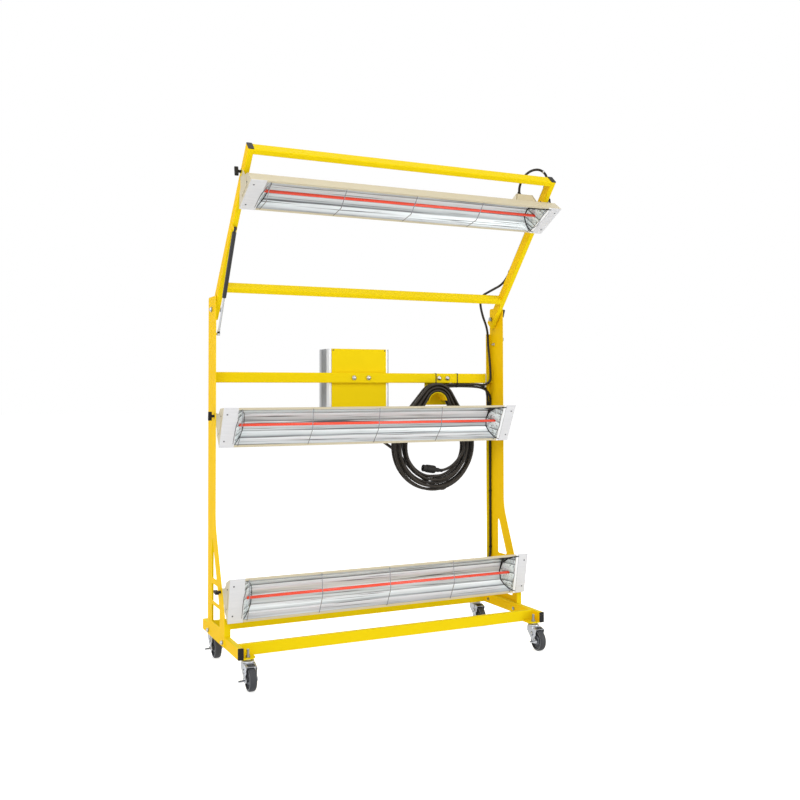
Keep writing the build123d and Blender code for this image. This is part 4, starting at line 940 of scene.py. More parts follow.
def ribbed_aluminium():
    """Extruded aluminium with drawn lines up its length, shade between its fins and a painted shadow line
    down its front right corner.
    """
    finish = Finish("ribbed aluminium")
    low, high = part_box("box_body")
    depth = (finish.along((0, 1, 0)) - low.y) / (high.y - low.y)
    bright, mid, dark = shade(226, 228, 231), shade(168, 171, 176), shade(84, 86, 91)
    stops = [(0.0, bright), (0.33, bright)]
    for groove in FIN_SHADE_SHARES:
        stops += [(groove - 0.025, mid), (groove, dark), (groove + 0.035, shade(206, 208, 212))]
    stops.append((1.0, shade(214, 216, 219)))
    fins = finish.node("ShaderNodeValToRGB", {"stops": stops}, {"Fac": depth}, "Color")
    drawn = finish.grain(420.0, 3.0, stretch=(1.0, 1.0, 0.02))
    tint = finish.blend(drawn * 0.3, fins, mid)
    # Painted shadow line: a dark strip down the front right corner, near the cover's front
    near = finish.along((0, 1, 0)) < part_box("box_covers")[0].y + BOX_SHADOW_LINE_DEEP
    edge = (finish.along((1, 0, 0)) > BOX_SHADOW_LINE) * near
    tint = finish.blend(edge, tint, shade(58, 60, 68))
    gloss = finish.level(drawn, 0.28, 0.44)
    normal = finish.raised(drawn, 0.00015, 0.4)
    return finish.made(Base_Color=tint, Metallic=0.5, Roughness=gloss, Normal=normal)


def inside_box(finish, middle, size):
    """1 inside an upright oblong on the control box, given in millimetres."""
    wide, tall = size
    across = abs(finish.along((1, 0, 0)) - middle[0] * MM)
    up = abs(finish.along((0, 0, 1)) - middle[1] * MM)
    return (across < wide / 2 * MM) * (up < tall / 2 * MM)


def keypad_print():
    """White keypad foil with a dark printed border, arrow marks and a dark display window."""
    finish = Finish("keypad foil")
    sheet = inside_box(finish, KEYPAD, KEYPAD_SHEET)
    border = inside_box(finish, KEYPAD, KEYPAD_BORDER)
    window = inside_box(finish, DISPLAY, DISPLAY_WINDOW)
    digits = inside_box(finish, DISPLAY, DISPLAY_DIGITS)
    speckle = finish.grain(700.0, 2.0)
    white = finish.blend(speckle, shade(238, 239, 240), shade(228, 229, 231))
    tint = finish.blend(sheet * (1 - border), white, shade(40, 41, 44))
    for middle, way in ARROWS:
        across = abs(finish.along((1, 0, 0)) - middle * MM)
        rise = (finish.along((0, 0, 1)) - ARROW_HIGH * MM) * way
        mark = (across < 0.0045 - rise * 0.9) * (rise > -0.001) * (rise < 0.005)
        stem = (across < 0.0014) * (rise < 0.0) * (rise > -0.005)
        tint = finish.blend(mark + stem, tint, shade(38, 38, 40))
    lit = shade(226, 38, 30)
    tint = finish.blend(window, tint, shade(30, 12, 12))
    tint = finish.blend(window * digits, tint, lit)
    glow = finish.blend(digits, (0.0, 0.0, 0.0), lit)
    gloss = finish.level(window, 0.42, 0.12)
    normal = finish.raised(speckle, 0.00005, 0.3)
    return finish.made(
        Base_Color=tint,
        Roughness=gloss,
        Normal=normal,
        Emission_Color=glow,
        Emission_Strength=0.3,
    )


def circuit_green():
    """Green board with pale tracks."""
    finish = Finish("circuit board")
    cells = {"Vector": finish.at, "Scale": 90.0}
    tracks = finish.node("ShaderNodeTexVoronoi", {"feature": "DISTANCE_TO_EDGE"}, cells, "Distance")
    tint = finish.blend(tracks < 0.05, shade(26, 92, 52), shade(150, 150, 110))
    normal = finish.raised(finish.grain(300.0), 0.0002, 0.3)
    return finish.made(Base_Color=tint, Roughness=0.45, Normal=normal)


def wheel_finish(name, axle):
    """Caster wheel: a charcoal tread with raised side rings painted lighter as a painted highlight, a grey
    web and a zinc bush.
    """
    finish = Finish(f"wheel {name}")
    behind = finish.along((0, 1, 0)) - axle.y
    up = finish.along((0, 0, 1)) - axle.z
    spoke = (behind * behind + up * up) ** 0.5
    wear = finish.grain(90.0, 4.0)
    tread = finish.blend(wear, shade(40, 41, 44), shade(62, 63, 67))
    web = finish.blend(finish.grain(140.0), shade(52, 54, 58), shade(74, 76, 80))
    ring = sum((spoke > inner) * (spoke < outer) for inner, outer in WHEEL_HIGHLIGHT_RINGS)
    tint = finish.blend(spoke < WHEEL_WEB, tread, web)
    # Painted highlight: the raised side rings are painted a lighter grey
    tint = finish.blend(ring, tint, shade(132, 134, 138))
    tint = finish.blend(spoke < WHEEL_BUSH, tint, shade(190, 192, 196))
    normal = finish.raised(finish.grain(260.0) + ring * 2.0, 0.0002, 0.5)
    return finish.made(Base_Color=tint, Roughness=finish.level(wear, 0.5, 0.7), Normal=normal)


def strut_enamel():
    """Black gas strut with a machined stud eye."""
    finish = Finish("strut enamel")
    haze = finish.grain(200.0, 3.0)
    tint = finish.blend(haze, shade(26, 26, 28), shade(44, 44, 47))
    gloss = finish.level(haze, 0.26, 0.4)
    return finish.made(Base_Color=tint, Roughness=gloss, Normal=finish.raised(haze, 0.0001, 0.3))


def bright_rod():
    """Bright strut rod with a dark clip on its socket."""
    finish = Finish("bright rod")
    turned = finish.grain(500.0, 2.0, stretch=(1.0, 0.3, 0.3))
    tint = finish.blend(turned, shade(188, 190, 195), shade(226, 228, 232))
    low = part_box("strut_rod")[0].z
    up = finish.along((0, 0, 1))
    clip = (up > low + CLIP_LOW) * (up < low + CLIP_HIGH)
    tint = finish.blend(clip, tint, shade(30, 28, 26))
    return finish.made(Base_Color=tint, Metallic=1.0 - clip, Roughness=finish.level(turned, 0.14, 0.26))


def lever_finish():
    """Blackened lever rod under a black grip."""
    finish = Finish("lock lever")
    grip = finish.along((0, 0, 1)) > LEVER_GRIP
    streak = finish.grain(300.0, 2.0)
    rod = finish.blend(streak, shade(46, 44, 42), shade(70, 67, 64))
    tint = finish.blend(grip, rod, shade(24, 24, 25))
    gloss = finish.level(grip, 0.3, 0.55)
    return finish.made(Base_Color=tint, Roughness=gloss, Normal=finish.raised(streak, 0.0002, 0.4))


# Forms


def frame_at(origin, way, across=(1, 0, 0)):
    """Frame whose z runs along a direction and whose x stays near another."""
    z = Vector(way).normalized()
    x = Vector(across)
    x = (x - z * x.dot(z)).normalized()
    y = z.cross(x)
    return Matrix.Translation(Vector(origin)) @ Matrix((x, y, z)).transposed().to_4x4()


def oblong(half_x, half_y, x=0.0, y=0.0):
    """Outline of an oblong round a middle."""
    return [(x + a * half_x, y + b * half_y) for a, b in CORNERS]


class Form:
    """Gathers the faces of one piece in metres."""

    def __init__(self):
        self.mesh = bmesh.new()

    def ring(self, places):
        """Points of one ring, going round."""
        return [self.mesh.verts.new(place) for place in places]

    def face(self, corners, finish, smooth=False):
        """One face; a corner given twice counts once."""
        face = self.mesh.faces.new(list(dict.fromkeys(corners)))
        face.material_index = finish
        face.smooth = smooth

    def skin(self, rings, finish, smooth):
        """Joins each ring to the next; a ring of one point closes to that point."""
        for lower, upper in zip(rings, rings[1:]):
            count = max(len(lower), len(upper))
            for step in range(count):
                after = (step + 1) % count
                pairs = ((lower, step), (lower, after), (upper, after), (upper, step))
                self.face([ring[index % len(ring)] for ring, index in pairs], finish, smooth)

    def prism(self, outline, place, low, high, finish=0):
        """An outline drawn out along the frame's z."""
        rings = [self.ring(place @ Vector((x, y, level)) for x, y in outline) for level in (low, high)]
        self.face(reversed(rings[0]), finish)
        self.face(rings[1], finish)
        self.skin(rings, finish, False)
        return self

    def turned(self, profile, place, steps=20, finish=0):
        """A profile of radius and height turned about the frame's z."""
        rings = []
        for radius, level in profile:
            turns = [2 * pi * step / steps for step in range(steps if radius else 1)]
            spots = [Vector((radius * cos(turn), radius * sin(turn), level)) for turn in turns]
            rings.append(self.ring(place @ spot for spot in spots))
        self.skin(rings, finish, True)
        return self

    def tube(self, points, radii, sides):
        """Round tube along points in space, with a radius at each, closed at both ends."""
        path = [Vector(point) for point in points]
        ways = [(after - before).normalized() for before, after in zip(path, path[1:])]
        tangents = [ways[0]] + [(a + b).normalized() for a, b in zip(ways, ways[1:])] + [ways[-1]]
        side = tangents[0].orthogonal().normalized()
        rings = []
        for point, tangent, radius in zip(path, tangents, radii):
            side = (side - tangent * side.dot(tangent)).normalized()
            other = tangent.cross(side)
            turns = [2 * pi * step / sides for step in range(sides)]
            rings.append(self.ring(point + (side * cos(turn) + other * sin(turn)) * radius for turn in turns))
        self.skin(rings, 0, True)
        self.face(reversed(rings[0]), 0)
        self.face(rings[-1], 0)
        return self

    def band(self, circles, place, wide, thick, turn, head=True):
        """Cable tie pulled round circles given across the frame's x and y, with its head at a turn."""
        steps = 56

        def held(angle, reach):
            way = Vector((cos(angle), sin(angle)))
            x, y, r = max(circles, key=lambda circle: Vector(circle[:2]).dot(way) + circle[2])
            return Vector((x, y)) + way * (r + reach)

        rings = []
        for reach, level in ((0.0, -wide / 2), (thick, -wide / 2), (thick, wide / 2), (0.0, wide / 2)):
            spots = [held(2 * pi * step / steps, reach) for step in range(steps)]
            rings.append(self.ring(place @ Vector((spot.x, spot.y, level)) for spot in spots))
        self.skin(rings + rings[:1], 0, False)
        if head:
            seat = held(turn, thick)
            spot = place @ Vector((seat.x, seat.y, 0))
            facing = place.to_3x3()
            out = (facing @ Vector((cos(turn), sin(turn), 0))).normalized()
            across = facing @ Vector((0, 0, 1))
            half_wide, half_long, corner = wide * 0.72, wide * 0.85, wide * 0.2
            outline = []
            for x, y in CORNERS:
                cuts = ((0, corner), (corner, 0))
                for dx, dy in cuts if x * y > 0 else reversed(cuts):
                    outline.append((x * (half_wide - dx), y * (half_long - dy)))
            self.prism(outline, frame_at(spot, out, across), -thick * 0.4, wide * 0.75)
            stub = frame_at(spot + out * wide * 0.75, out, across)
            self.prism(oblong(wide * 0.42, thick / 2), stub, 0, wide * 0.7)
        return self

    def piece(self, name, finishes, body, bevel=0.0):
        """Makes the object, gives it its finishes and sets it on a body."""
        bmesh.ops.recalc_face_normals(self.mesh, faces=self.mesh.faces)
        data = bpy.data.meshes.new(name)
        self.mesh.to_mesh(data)
        self.mesh.free()
        made = bpy.data.objects.new(name, data)
        bpy.context.scene.collection.objects.link(made)
        for finish in finishes:
            data.materials.append(finish)
        if bevel:
            edge = made.modifiers.new("edges", "BEVEL")
            edge.width = bevel
            edge.segments = 2
            edge.limit_method = "ANGLE"
            edge.angle_limit = radians(35)
        if body:
            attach(made, body)
        return made


def painted(finish, *nodes):
    """Gives CAD nodes one finish."""
    for node in nodes:
        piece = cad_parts[node]
        piece.data.materials.clear()
        piece.data.materials.append(finish)


# Cables


def spot(across, behind, up):
    """Place given across, behind the swing axis and up, in millimetres."""
    return Vector((across, POST + behind, up)) * MM


def arm_ways():
    """Directions up the arms and square behind them."""
    return Vector((0, -sin(LEAN), cos(LEAN))), Vector((0, cos(LEAN), sin(LEAN)))


def on_arm(across, along, behind):
    """Place given across, up the arm from its pivot and behind the arm's middle, in millimetres."""
    up_way, behind_way = arm_ways()
    return (Vector((across, POST, PIVOT_HIGH)) + up_way * along + behind_way * behind) * MM


def box_gland(number):
    """Where a cable leaves one of the control box's glands."""
    return spot(BOX_GLANDS[number], BOX_GLAND_BEHIND, BOX_GLAND_END)


def fixture_gland(name, reach=0.0):
    """Where a cable leaves a fixture's gland, or a place further out."""
    return on_fixture(name, JUNCTION, FACE_TALL / 2, FIXTURE_DEEP + JUNCTION_TALL + GLAND_LONG + reach)


def outward(side, out):
    """Direction from a circle's centre to where the slanting side touches it."""
    span = COIL_TOP - COIL_BOTTOM
    up = span.normalized()
    right = Vector((up.y, -up.x))
    spread = COIL_BOTTOM_R - COIL_TOP_R + (COIL_BOTTOM_PITCH - COIL_TOP_PITCH) * out
    slant = asin(spread / span.length)
    return right * (side * cos(slant)) + up * sin(slant)


def coil_half_turns():
    """Each half turn's offset and layer at its start and end: out and back in, one layer after another."""
    out, behind = 0.0, COIL_REAR
    for layer in range(4):
        step = 0.5 if layer % 2 == 0 else -0.5
        for _ in range(4):
            yield out, out + step, behind, behind
            out += step
        yield out, out, behind, behind if layer == 3 else behind - COIL_STEP
        behind -= COIL_STEP


def coil_points():
    """Corner points of the wound part: each arc's points lie where its tangents cross."""
    points = []
    turns = list(coil_half_turns())
    for index, (out_a, out_b, behind_a, behind_b) in enumerate(turns):
        rising = index % 2 == 0
        side = -1 if rising else 1

        def reached(climb):
            share = climb if rising else 1 - climb
            return out_a + (out_b - out_a) * share, behind_a + (behind_b - behind_a) * share

        def corner(centre, radius, pitch, turn, half_step, climb):
            out, behind = reached(climb)
            reach = (radius + pitch * out) / cos(half_step)
            place = centre + Vector((side * sin(turn), -cos(turn))) * reach
            return spot(place.x, behind, place.y)

        foot_out, foot_behind = reached(LIMB_FOOT)
        head_out, head_behind = reached(LIMB_HEAD)
        foot_way, head_way = outward(side, foot_out), outward(side, head_out)
        foot_turn = atan2(side * foot_way.x, -foot_way.y)
        head_turn = atan2(side * head_way.x, -head_way.y)
        foot_r = COIL_BOTTOM_R + COIL_BOTTOM_PITCH * foot_out
        head_r = COIL_TOP_R + COIL_TOP_PITCH * head_out
        foot = COIL_BOTTOM + foot_way * foot_r
        head = COIL_TOP + head_way * head_r
        foot, head = spot(foot.x, foot_behind, foot.y), spot(head.x, head_behind, head.y)
        climb_way = (head - foot).normalized()

        places = []
        half_step = foot_turn / FOOT_ARC / 2
        for step in range(FOOT_ARC):
            middle = (step + 0.5) / FOOT_ARC
            turn, climb = foot_turn * middle, LIMB_FOOT * middle
            places.append(corner(COIL_BOTTOM, COIL_BOTTOM_R, COIL_BOTTOM_PITCH, turn, half_step, climb))
        places.append(foot + climb_way * foot_r * tan(half_step) * MM)
        half_step = (pi - head_turn) / HEAD_ARC / 2
        places.append(head - climb_way * head_r * tan(half_step) * MM)
        for step in range(HEAD_ARC):
            middle = (step + 0.5) / HEAD_ARC
            turn = head_turn + (pi - head_turn) * middle
            climb = LIMB_HEAD + (1 - LIMB_HEAD) * middle
            places.append(corner(COIL_TOP, COIL_TOP_R, COIL_TOP_PITCH, turn, half_step, climb))
        if not rising:
            places.reverse()
        if index == len(turns) - 1:
            places = places[: HEAD_ARC + 1] + [head - climb_way * COIL_TAIL * MM]
        points += places
    return points


def cable_curve(name, points, radius, finish, smooth=6, round_steps=3):
    """Cable as one open spline through its route's corner points."""
    curve = bpy.data.curves.new(name, "CURVE")
    curve.dimensions = "3D"
    curve.resolution_u = smooth
    curve.bevel_depth = radius
    curve.bevel_resolution = round_steps
    curve.use_fill_caps = radius > 0
    spline = curve.splines.new("NURBS")
    spline.points.add(len(points) - 1)
    for point, place in zip(spline.points, points):
        point.co = (*place, 1.0)
    spline.order_u = 3
    spline.use_endpoint_u = True
    spline.resolution_u = smooth
    made = bpy.data.objects.new(name, curve)
    bpy.context.scene.collection.objects.link(made)
    if finish:
        curve.materials.append(finish)
    return made


def cable_line(points):
    """Points along the same spline, for a cable that has to bend at a joint."""
    bare = cable_curve("line", points, 0.0, None, smooth=10)
    mesh = bpy.data.meshes.new_from_object(bare)
    line = [vertex.co.copy() for vertex in mesh.vertices]
    curve = bare.data
    bpy.data.objects.remove(bare)
    bpy.data.curves.remove(curve)
    bpy.data.meshes.remove(mesh)
    return line


def lead(name, points, finish, bodies, ends, exit_place, length):
    """Cable that runs across a joint, as a tube on its own line."""
    line = cable_line(points)
    radius = sizes().cable_radius
    made = Form().tube(line, [radius] * len(line), 14).piece(name, [finish], None)
    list(bodies)
    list(ends)
    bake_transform(made)
    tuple(exit_place)
    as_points(line)
    return made


def sleeve(name, start, way, radius, body, finish, base=0.0):
    """Ribbed sleeve that tapers along a cable where it leaves a gland."""
    base = base or radius + SLEEVE_WALL
    long = sizes().sleeve_long
    profile = [(radius * 0.9, -SLEEVE_SUNK), (base, -SLEEVE_SUNK), (base, SLEEVE_FOOT)]
    pitch = (long - SLEEVE_FOOT) / SLEEVE_RIBS
    for rib in range(SLEEVE_RIBS):
        share = (rib + 0.5) / SLEEVE_RIBS
        level = SLEEVE_FOOT + (long - SLEEVE_FOOT) * share
        outer = base + (radius + SLEEVE_TIP - base) * share
        inner = outer - SLEEVE_GROOVE
        profile += [(inner, level - pitch * 0.42), (inner, level - pitch * 0.18)]
        profile += [(outer, level - pitch * 0.1), (outer, level + pitch * 0.4)]
    profile += [(radius + SLEEVE_RIM, long), (radius * 0.9, long)]
    return Form().turned(profile, frame_at(start, way), 22).piece(name, [finish], body)


def screw_head(form, place, radius):
    """Domed cross-head screw sitting at a frame's origin, with its cross in the second finish as painted
    shade in the recess.
    """
    profile = [(radius, 0.0), (radius, radius * 0.22), (radius * 0.82, radius * 0.44)]
    profile += [(radius * 0.45, radius * 0.58), (0, radius * 0.62)]
    form.turned(profile, place, 16)
    arm, thin = radius * 0.5, radius * 0.13
    cross = [(thin, thin), (thin, arm), (-thin, arm), (-thin, thin), (-arm, thin), (-arm, -thin)]
    cross += [(-thin, -thin), (-thin, -arm), (thin, -arm), (thin, -thin), (arm, -thin), (arm, thin)]
    form.prism(cross, place, radius * 0.4, radius * 0.635, 1)


def dome_head(form, place, radius):
    """Domed bolt cover over a flat washer."""
    profile = [(radius * 1.3, 0.0), (radius * 1.3, 0.0012), (radius, 0.0014), (radius * 0.97, radius * 0.35)]
    profile += [(radius * 0.8, radius * 0.62), (radius * 0.5, radius * 0.78), (0, radius * 0.84)]
    form.turned(profile, place, 20)


class LAMP_OT_paint_frame(bpy.types.Operator):
    """Powder-coats the frame and finishes its caps, bolts, knobs, strut and lever"""

    bl_idname = "lamp.paint_frame"
    bl_label = "Paint the frame"

    def execute(self, context):
        yellow = powder_coat("yellow powder coat", tuple(colours().yellow))
        painted(yellow, "base_legs", "base_crossbars", "upright_left", "upright_right", "middle_crossbar")
        painted(yellow, "swing_frame", "cable_hanger", "box_covers")
        plastic = black_plastic()
        painted(plastic, "leg_end_caps", "arm_end_caps")
        for fixture in FIXTURES:
            for side in ("left", "right"):
                painted(plastic, f"knob_{fixture}_{side}")
        painted(zinc_plate(), "frame_bolts")
        painted(strut_enamel(), "strut_cylinder")
        painted(bright_rod(), "strut_rod")
        painted(lever_finish(), "lock_lever")
        return {"FINISHED"}


class LAMP_OT_supply_cable(bpy.types.Operator):
    """Winds the supply cable on its hanger, from the box's gland to its plug"""

    bl_idname = "lamp.supply_cable"
    bl_label = "Supply cable"

    def execute(self, context):
        rubber = cable_rubber("supply cable rubber", tuple(colours().rubber))
        plug_finish = black_plastic("plug rubber", shade(30, 29, 28), 360.0)
        painted(plug_finish, "supply_plug")
        points = [box_gland(3), *[spot(*place) for place in SUPPLY_LEAD], *coil_points()]
        points += [spot(*place) for place in COIL_TAIL_ROUTE] + [spot(*PLUG_END)]
        radius = sizes().supply_radius
        cable = cable_curve("supply_cable_wound", points, radius, rubber, smooth=4, round_steps=2)
        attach(cable, "stand")
        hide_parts("supply_cable", "stand_cables")

        way = Vector((-cos(PLUG_LEAN), 0, sin(PLUG_LEAN)))
        place = frame_at(spot(*PLUG_END), way, (0, 1, 0))
        grip = Form()
        for rib in range(PLUG_RIBS):
            level = PLUG_RIB_FIRST + rib * PLUG_RIB_PITCH
            grip.turned([(out, level + rise) for out, rise in PLUG_RIB], place, 28)
        grip.turned(PLUG_COLLAR, place, 28)
        ribs = grip.piece("plug_ribs", [plug_finish], "stand")
        start = spot(*PLUG_END) - way * PLUG_BOOT_BACK
        boot = sleeve("plug_boot", start, way, radius, "stand", plug_finish, PLUG_BOOT_RADIUS)
        gland_sleeve = sleeve("supply_sleeve", box_gland(3), (0, 0, -1), radius, "stand", rubber)
        box_gland(3)
        return {"FINISHED"}


class LAMP_OT_fixture_cables(bpy.types.Operator):
    """Runs the three fixture cables along the frame and out to their glands"""

    bl_idname = "lamp.fixture_cables"
    bl_label = "Fixture cables"

    def execute(self, context):
        rubber = cable_rubber("fixture cable rubber", tuple(colours().rubber))
        radius = sizes().cable_radius
        for name, gland, route, length in LANES:
            points = [box_gland(gland), *[spot(*place) for place in route]]
            lane = cable_curve(name, points, radius, rubber)
            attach(lane, "stand")
            box_gland(gland)
            sleeve(f"{name}_sleeve", box_gland(gland), (0, 0, -1), radius, "stand", rubber)

        for name, fixture, route, length in LEADS:
            start = fixture_gland(fixture)
            points = [start, fixture_gland(fixture, LEAD_STRAIGHT[fixture])]
            points += [spot(*place) for place in route]
            bodies = ("stand", f"fixture_{fixture}")
            made = lead(f"{name}_cable", points, rubber, bodies, (points[-1], start), start, length)
            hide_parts(name)

        start = fixture_gland("top")
        loop = [start, fixture_gland("top", LEAD_STRAIGHT["top"]), *[on_arm(*place) for place in TOP_LOOP]]
        bodies, ends = ("swing", "fixture_top"), (loop[-1], start)
        made = lead("top_cable_loop", loop, rubber, bodies, ends, start, TOP_LOOP_LONG)
        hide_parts("top_cable")
        run = cable_curve("top_cable_run", [on_arm(*place) for place in TOP_RUN], radius, rubber)
        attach(run, "swing")
        on_arm(*TOP_RUN[0])
        lane_end = spot(*TOP_LANE[-1])
        lane_way = (lane_end - spot(*TOP_LANE[-2])).normalized()
        foot = [on_arm(*place) for place in TOP_FOOT]
        foot += [lane_end + lane_way * LEAD_STRAIGHT["top"] * MM, lane_end]
        ends = (lane_end, foot[0])
        lead("top_cable_foot", foot, rubber, ("stand", "swing"), ends, foot[0], TOP_FOOT_LONG)

        for fixture in FIXTURES:
            _, back_way = fixture_ways(fixture)
            start, body = fixture_gland(fixture), f"fixture_{fixture}"
            sleeve(f"{fixture}_gland_sleeve", start, back_way, radius, body, rubber)
        return {"FINISHED"}


class LAMP_OT_cable_ties(bpy.types.Operator):
    """Pulls cable ties round the cables where they are held to the frame"""

    bl_idname = "lamp.cable_ties"
    bl_label = "Cable ties"

    def execute(self, context):
        dark = black_plastic("tie nylon black", shade(24, 24, 26), 700.0)
        grey = black_plastic("tie nylon grey", shade(176, 178, 180), 700.0)
        wide, thick = sizes().tie_wide, sizes().tie_thick
        for name, across, behind in BAR_TIES:
            circles = []
            for y in (BAR_FRONT + BAR_CORNER, behind - BAR_CORNER):
                for z in (BAR_LOW + BAR_CORNER, BAR_HIGH - BAR_CORNER):
                    circles.append((y, z, BAR_CORNER))
            circles += BAR_CABLES
            circles = [((POST + y) * MM, z * MM, (r + BAR_TIE_SLACK) * MM) for y, z, r in circles]
            place = frame_at((across * MM, 0, 0), (1, 0, 0), (0, 1, 0))
            tie = Form().band(circles, place, wide, thick, BAR_TIE_HEAD)
            tie.piece(f"bar_tie_{name}", [grey if name == "outer" else dark], "stand")

        for name, up, cables in POST_TIES:
            circles = [(x * MM, (POST + y) * MM, POST_CABLE * MM) for x, y in cables]
            for side in (-1, 1):
                behind = POST + POST_CABLE_BEHIND + side * POST_TIE_HALF
                circles.append((POST_FACE * MM, behind * MM, POST_TIE_EDGE * MM))
            place = frame_at((0, 0, up * MM), (0, 0, 1), (1, 0, 0))
            tie = Form().band(circles, place, wide, thick, POST_TIE_HEAD)
            tie.piece(f"post_tie_{name}", [dark], "stand")

        up_way, behind_way = arm_ways()
        radius = sizes().cable_radius + SADDLE_SLACK
        saddles = Form()
        for along in SADDLES:
            place = Matrix.Translation(on_arm(0, along, 0))
            place = place @ Matrix((Vector((1, 0, 0)), behind_way, up_way)).transposed().to_4x4()
            circles = [(*SADDLE_CABLE, radius)]
            for side in (-1, 1):
                circles.append((side * SADDLE_FOOT[0] + SADDLE_CABLE[0], SADDLE_FOOT[1], SADDLE_SLACK))
            saddles.band(circles, place, wide * 1.6, thick, 0, False)
        saddles.piece("arm_saddles", [dark], "swing")

        first, second = on_arm(*TOP_LOOP[2]), on_arm(*TOP_LOOP[3])
        place = frame_at(first.lerp(second, 0.5), second - first, (1, 0, 0))
        tie = Form().band([(0, 0, radius)], place, wide * 1.5, thick, 0, False)
        tie.piece("loop_tie", [grey], "swing")
        return {"FINISHED"}


class LAMP_OT_fixtures(bpy.types.Operator):
    """Finishes the three lamp fixtures and adds their screws, ruby tubes and the black tubes of painted shade
    at their ends
    """

    bl_idname = "lamp.fixtures"
    bl_label = "Lamp fixtures"

    def execute(self, context):
        wire = chrome_wire()
        zinc = zinc_plate("plate screw", shade(104, 106, 110))
        # Painted shade: the screws' crosses are dark where their recesses would be in shade
        slot_dark = black_plastic("screw slot", shade(38, 38, 40))
        end_shade_black = black_plastic("end shade black", shade(22, 22, 24))
        for name in FIXTURES:
            _, back_way = fixture_ways(name)
            body = f"fixture_{name}"
            painted(housing_enamel(name), f"housing_{name}")
            painted(mirror_sheet(name), f"reflector_{name}")
            painted(ruby_quartz(name), f"lamp_{name}")
            painted(wire, f"guard_{name}")
            painted(ear_coat(name), f"ears_{name}")

            size = sizes().screw_radius
            screws = Form()
            for side in (-1, 1):
                for down in PLATE_SCREWS_DOWN:
                    seat = on_fixture(name, side * PLATE_SCREW, down, -PLATE_SCREW_PROUD)
                    screw_head(screws, frame_at(seat, -back_way), size)
                for down in SIDE_SCREWS_DOWN:
                    seat = on_fixture(name, side * SIDE_SCREW, down, SIDE_SCREW_BACK)
                    screw_head(screws, frame_at(seat, (side, 0, 0), (0, 1, 0)), size)
                for way in (-1, 1):
                    across = JUNCTION + way * JUNCTION_SCREW_ACROSS
                    down = FACE_TALL / 2 + side * JUNCTION_SCREW_DOWN
                    seat = on_fixture(name, across, down, FIXTURE_DEEP + JUNCTION_TALL)
                    screw_head(screws, frame_at(seat, back_way), size * 0.8)
            screws.piece(f"{name}_screws", [zinc, slot_dark], body)

            place = frame_at(on_fixture(name, 0, FACE_TALL / 2, LAMP_BACK), (1, 0, 0), (0, 1, 0))
            radius = sizes().lamp_radius
            profile = [(0, -RUBY_HALF), (radius, -RUBY_HALF), (radius, RUBY_HALF), (0, RUBY_HALF)]
            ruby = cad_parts[f"lamp_{name}"].data.materials[0]
            Form().turned(profile, place, 24).piece(f"{name}_ruby_tube", [ruby], body)

            # Painted shade: black tubes along each reflector's end edge and at its end
            ends = Form()
            for side, radii in ((-1, LEFT_EDGE_SHADE), (1, RIGHT_EDGE_SHADE)):
                edge = []
                for share, deep in FACETS:
                    inward = (REFLECTOR_DEEP - REFLECTOR_FRONT) * deep
                    across = REFLECTOR_HALF - REFLECTOR_RAKE * deep - EDGE_SHADE_INSIDE
                    down = LIP + (FACE_TALL - 2 * LIP) * share
                    back = REFLECTOR_FRONT + inward - EDGE_SHADE_AHEAD
                    edge.append(on_fixture(name, side * across, down, back))
                if side > 0:
                    edge = edge[:-1] + [on_fixture(name, *place) for place in EDGE_FOOT]
                ends.tube(edge, radii, 10)
                line = cable_line([on_fixture(name, side * x, down, back) for x, down, back in LAMP_LEAD])
                ends.tube(line, [sizes().end_shade_radius * 0.6] * len(line), 8)
            trims = ((TOP_RAIL, TOP_RAIL_RADII), (TOP_GUSSET, TOP_GUSSET_RADII), (LEFT_ROD, LEFT_ROD_RADII))
            for places, radii in trims:
                ends.tube([on_fixture(name, *place) for place in places], radii, 10)
            ends.piece(f"{name}_end_shade", [end_shade_black], body)
        return {"FINISHED"}


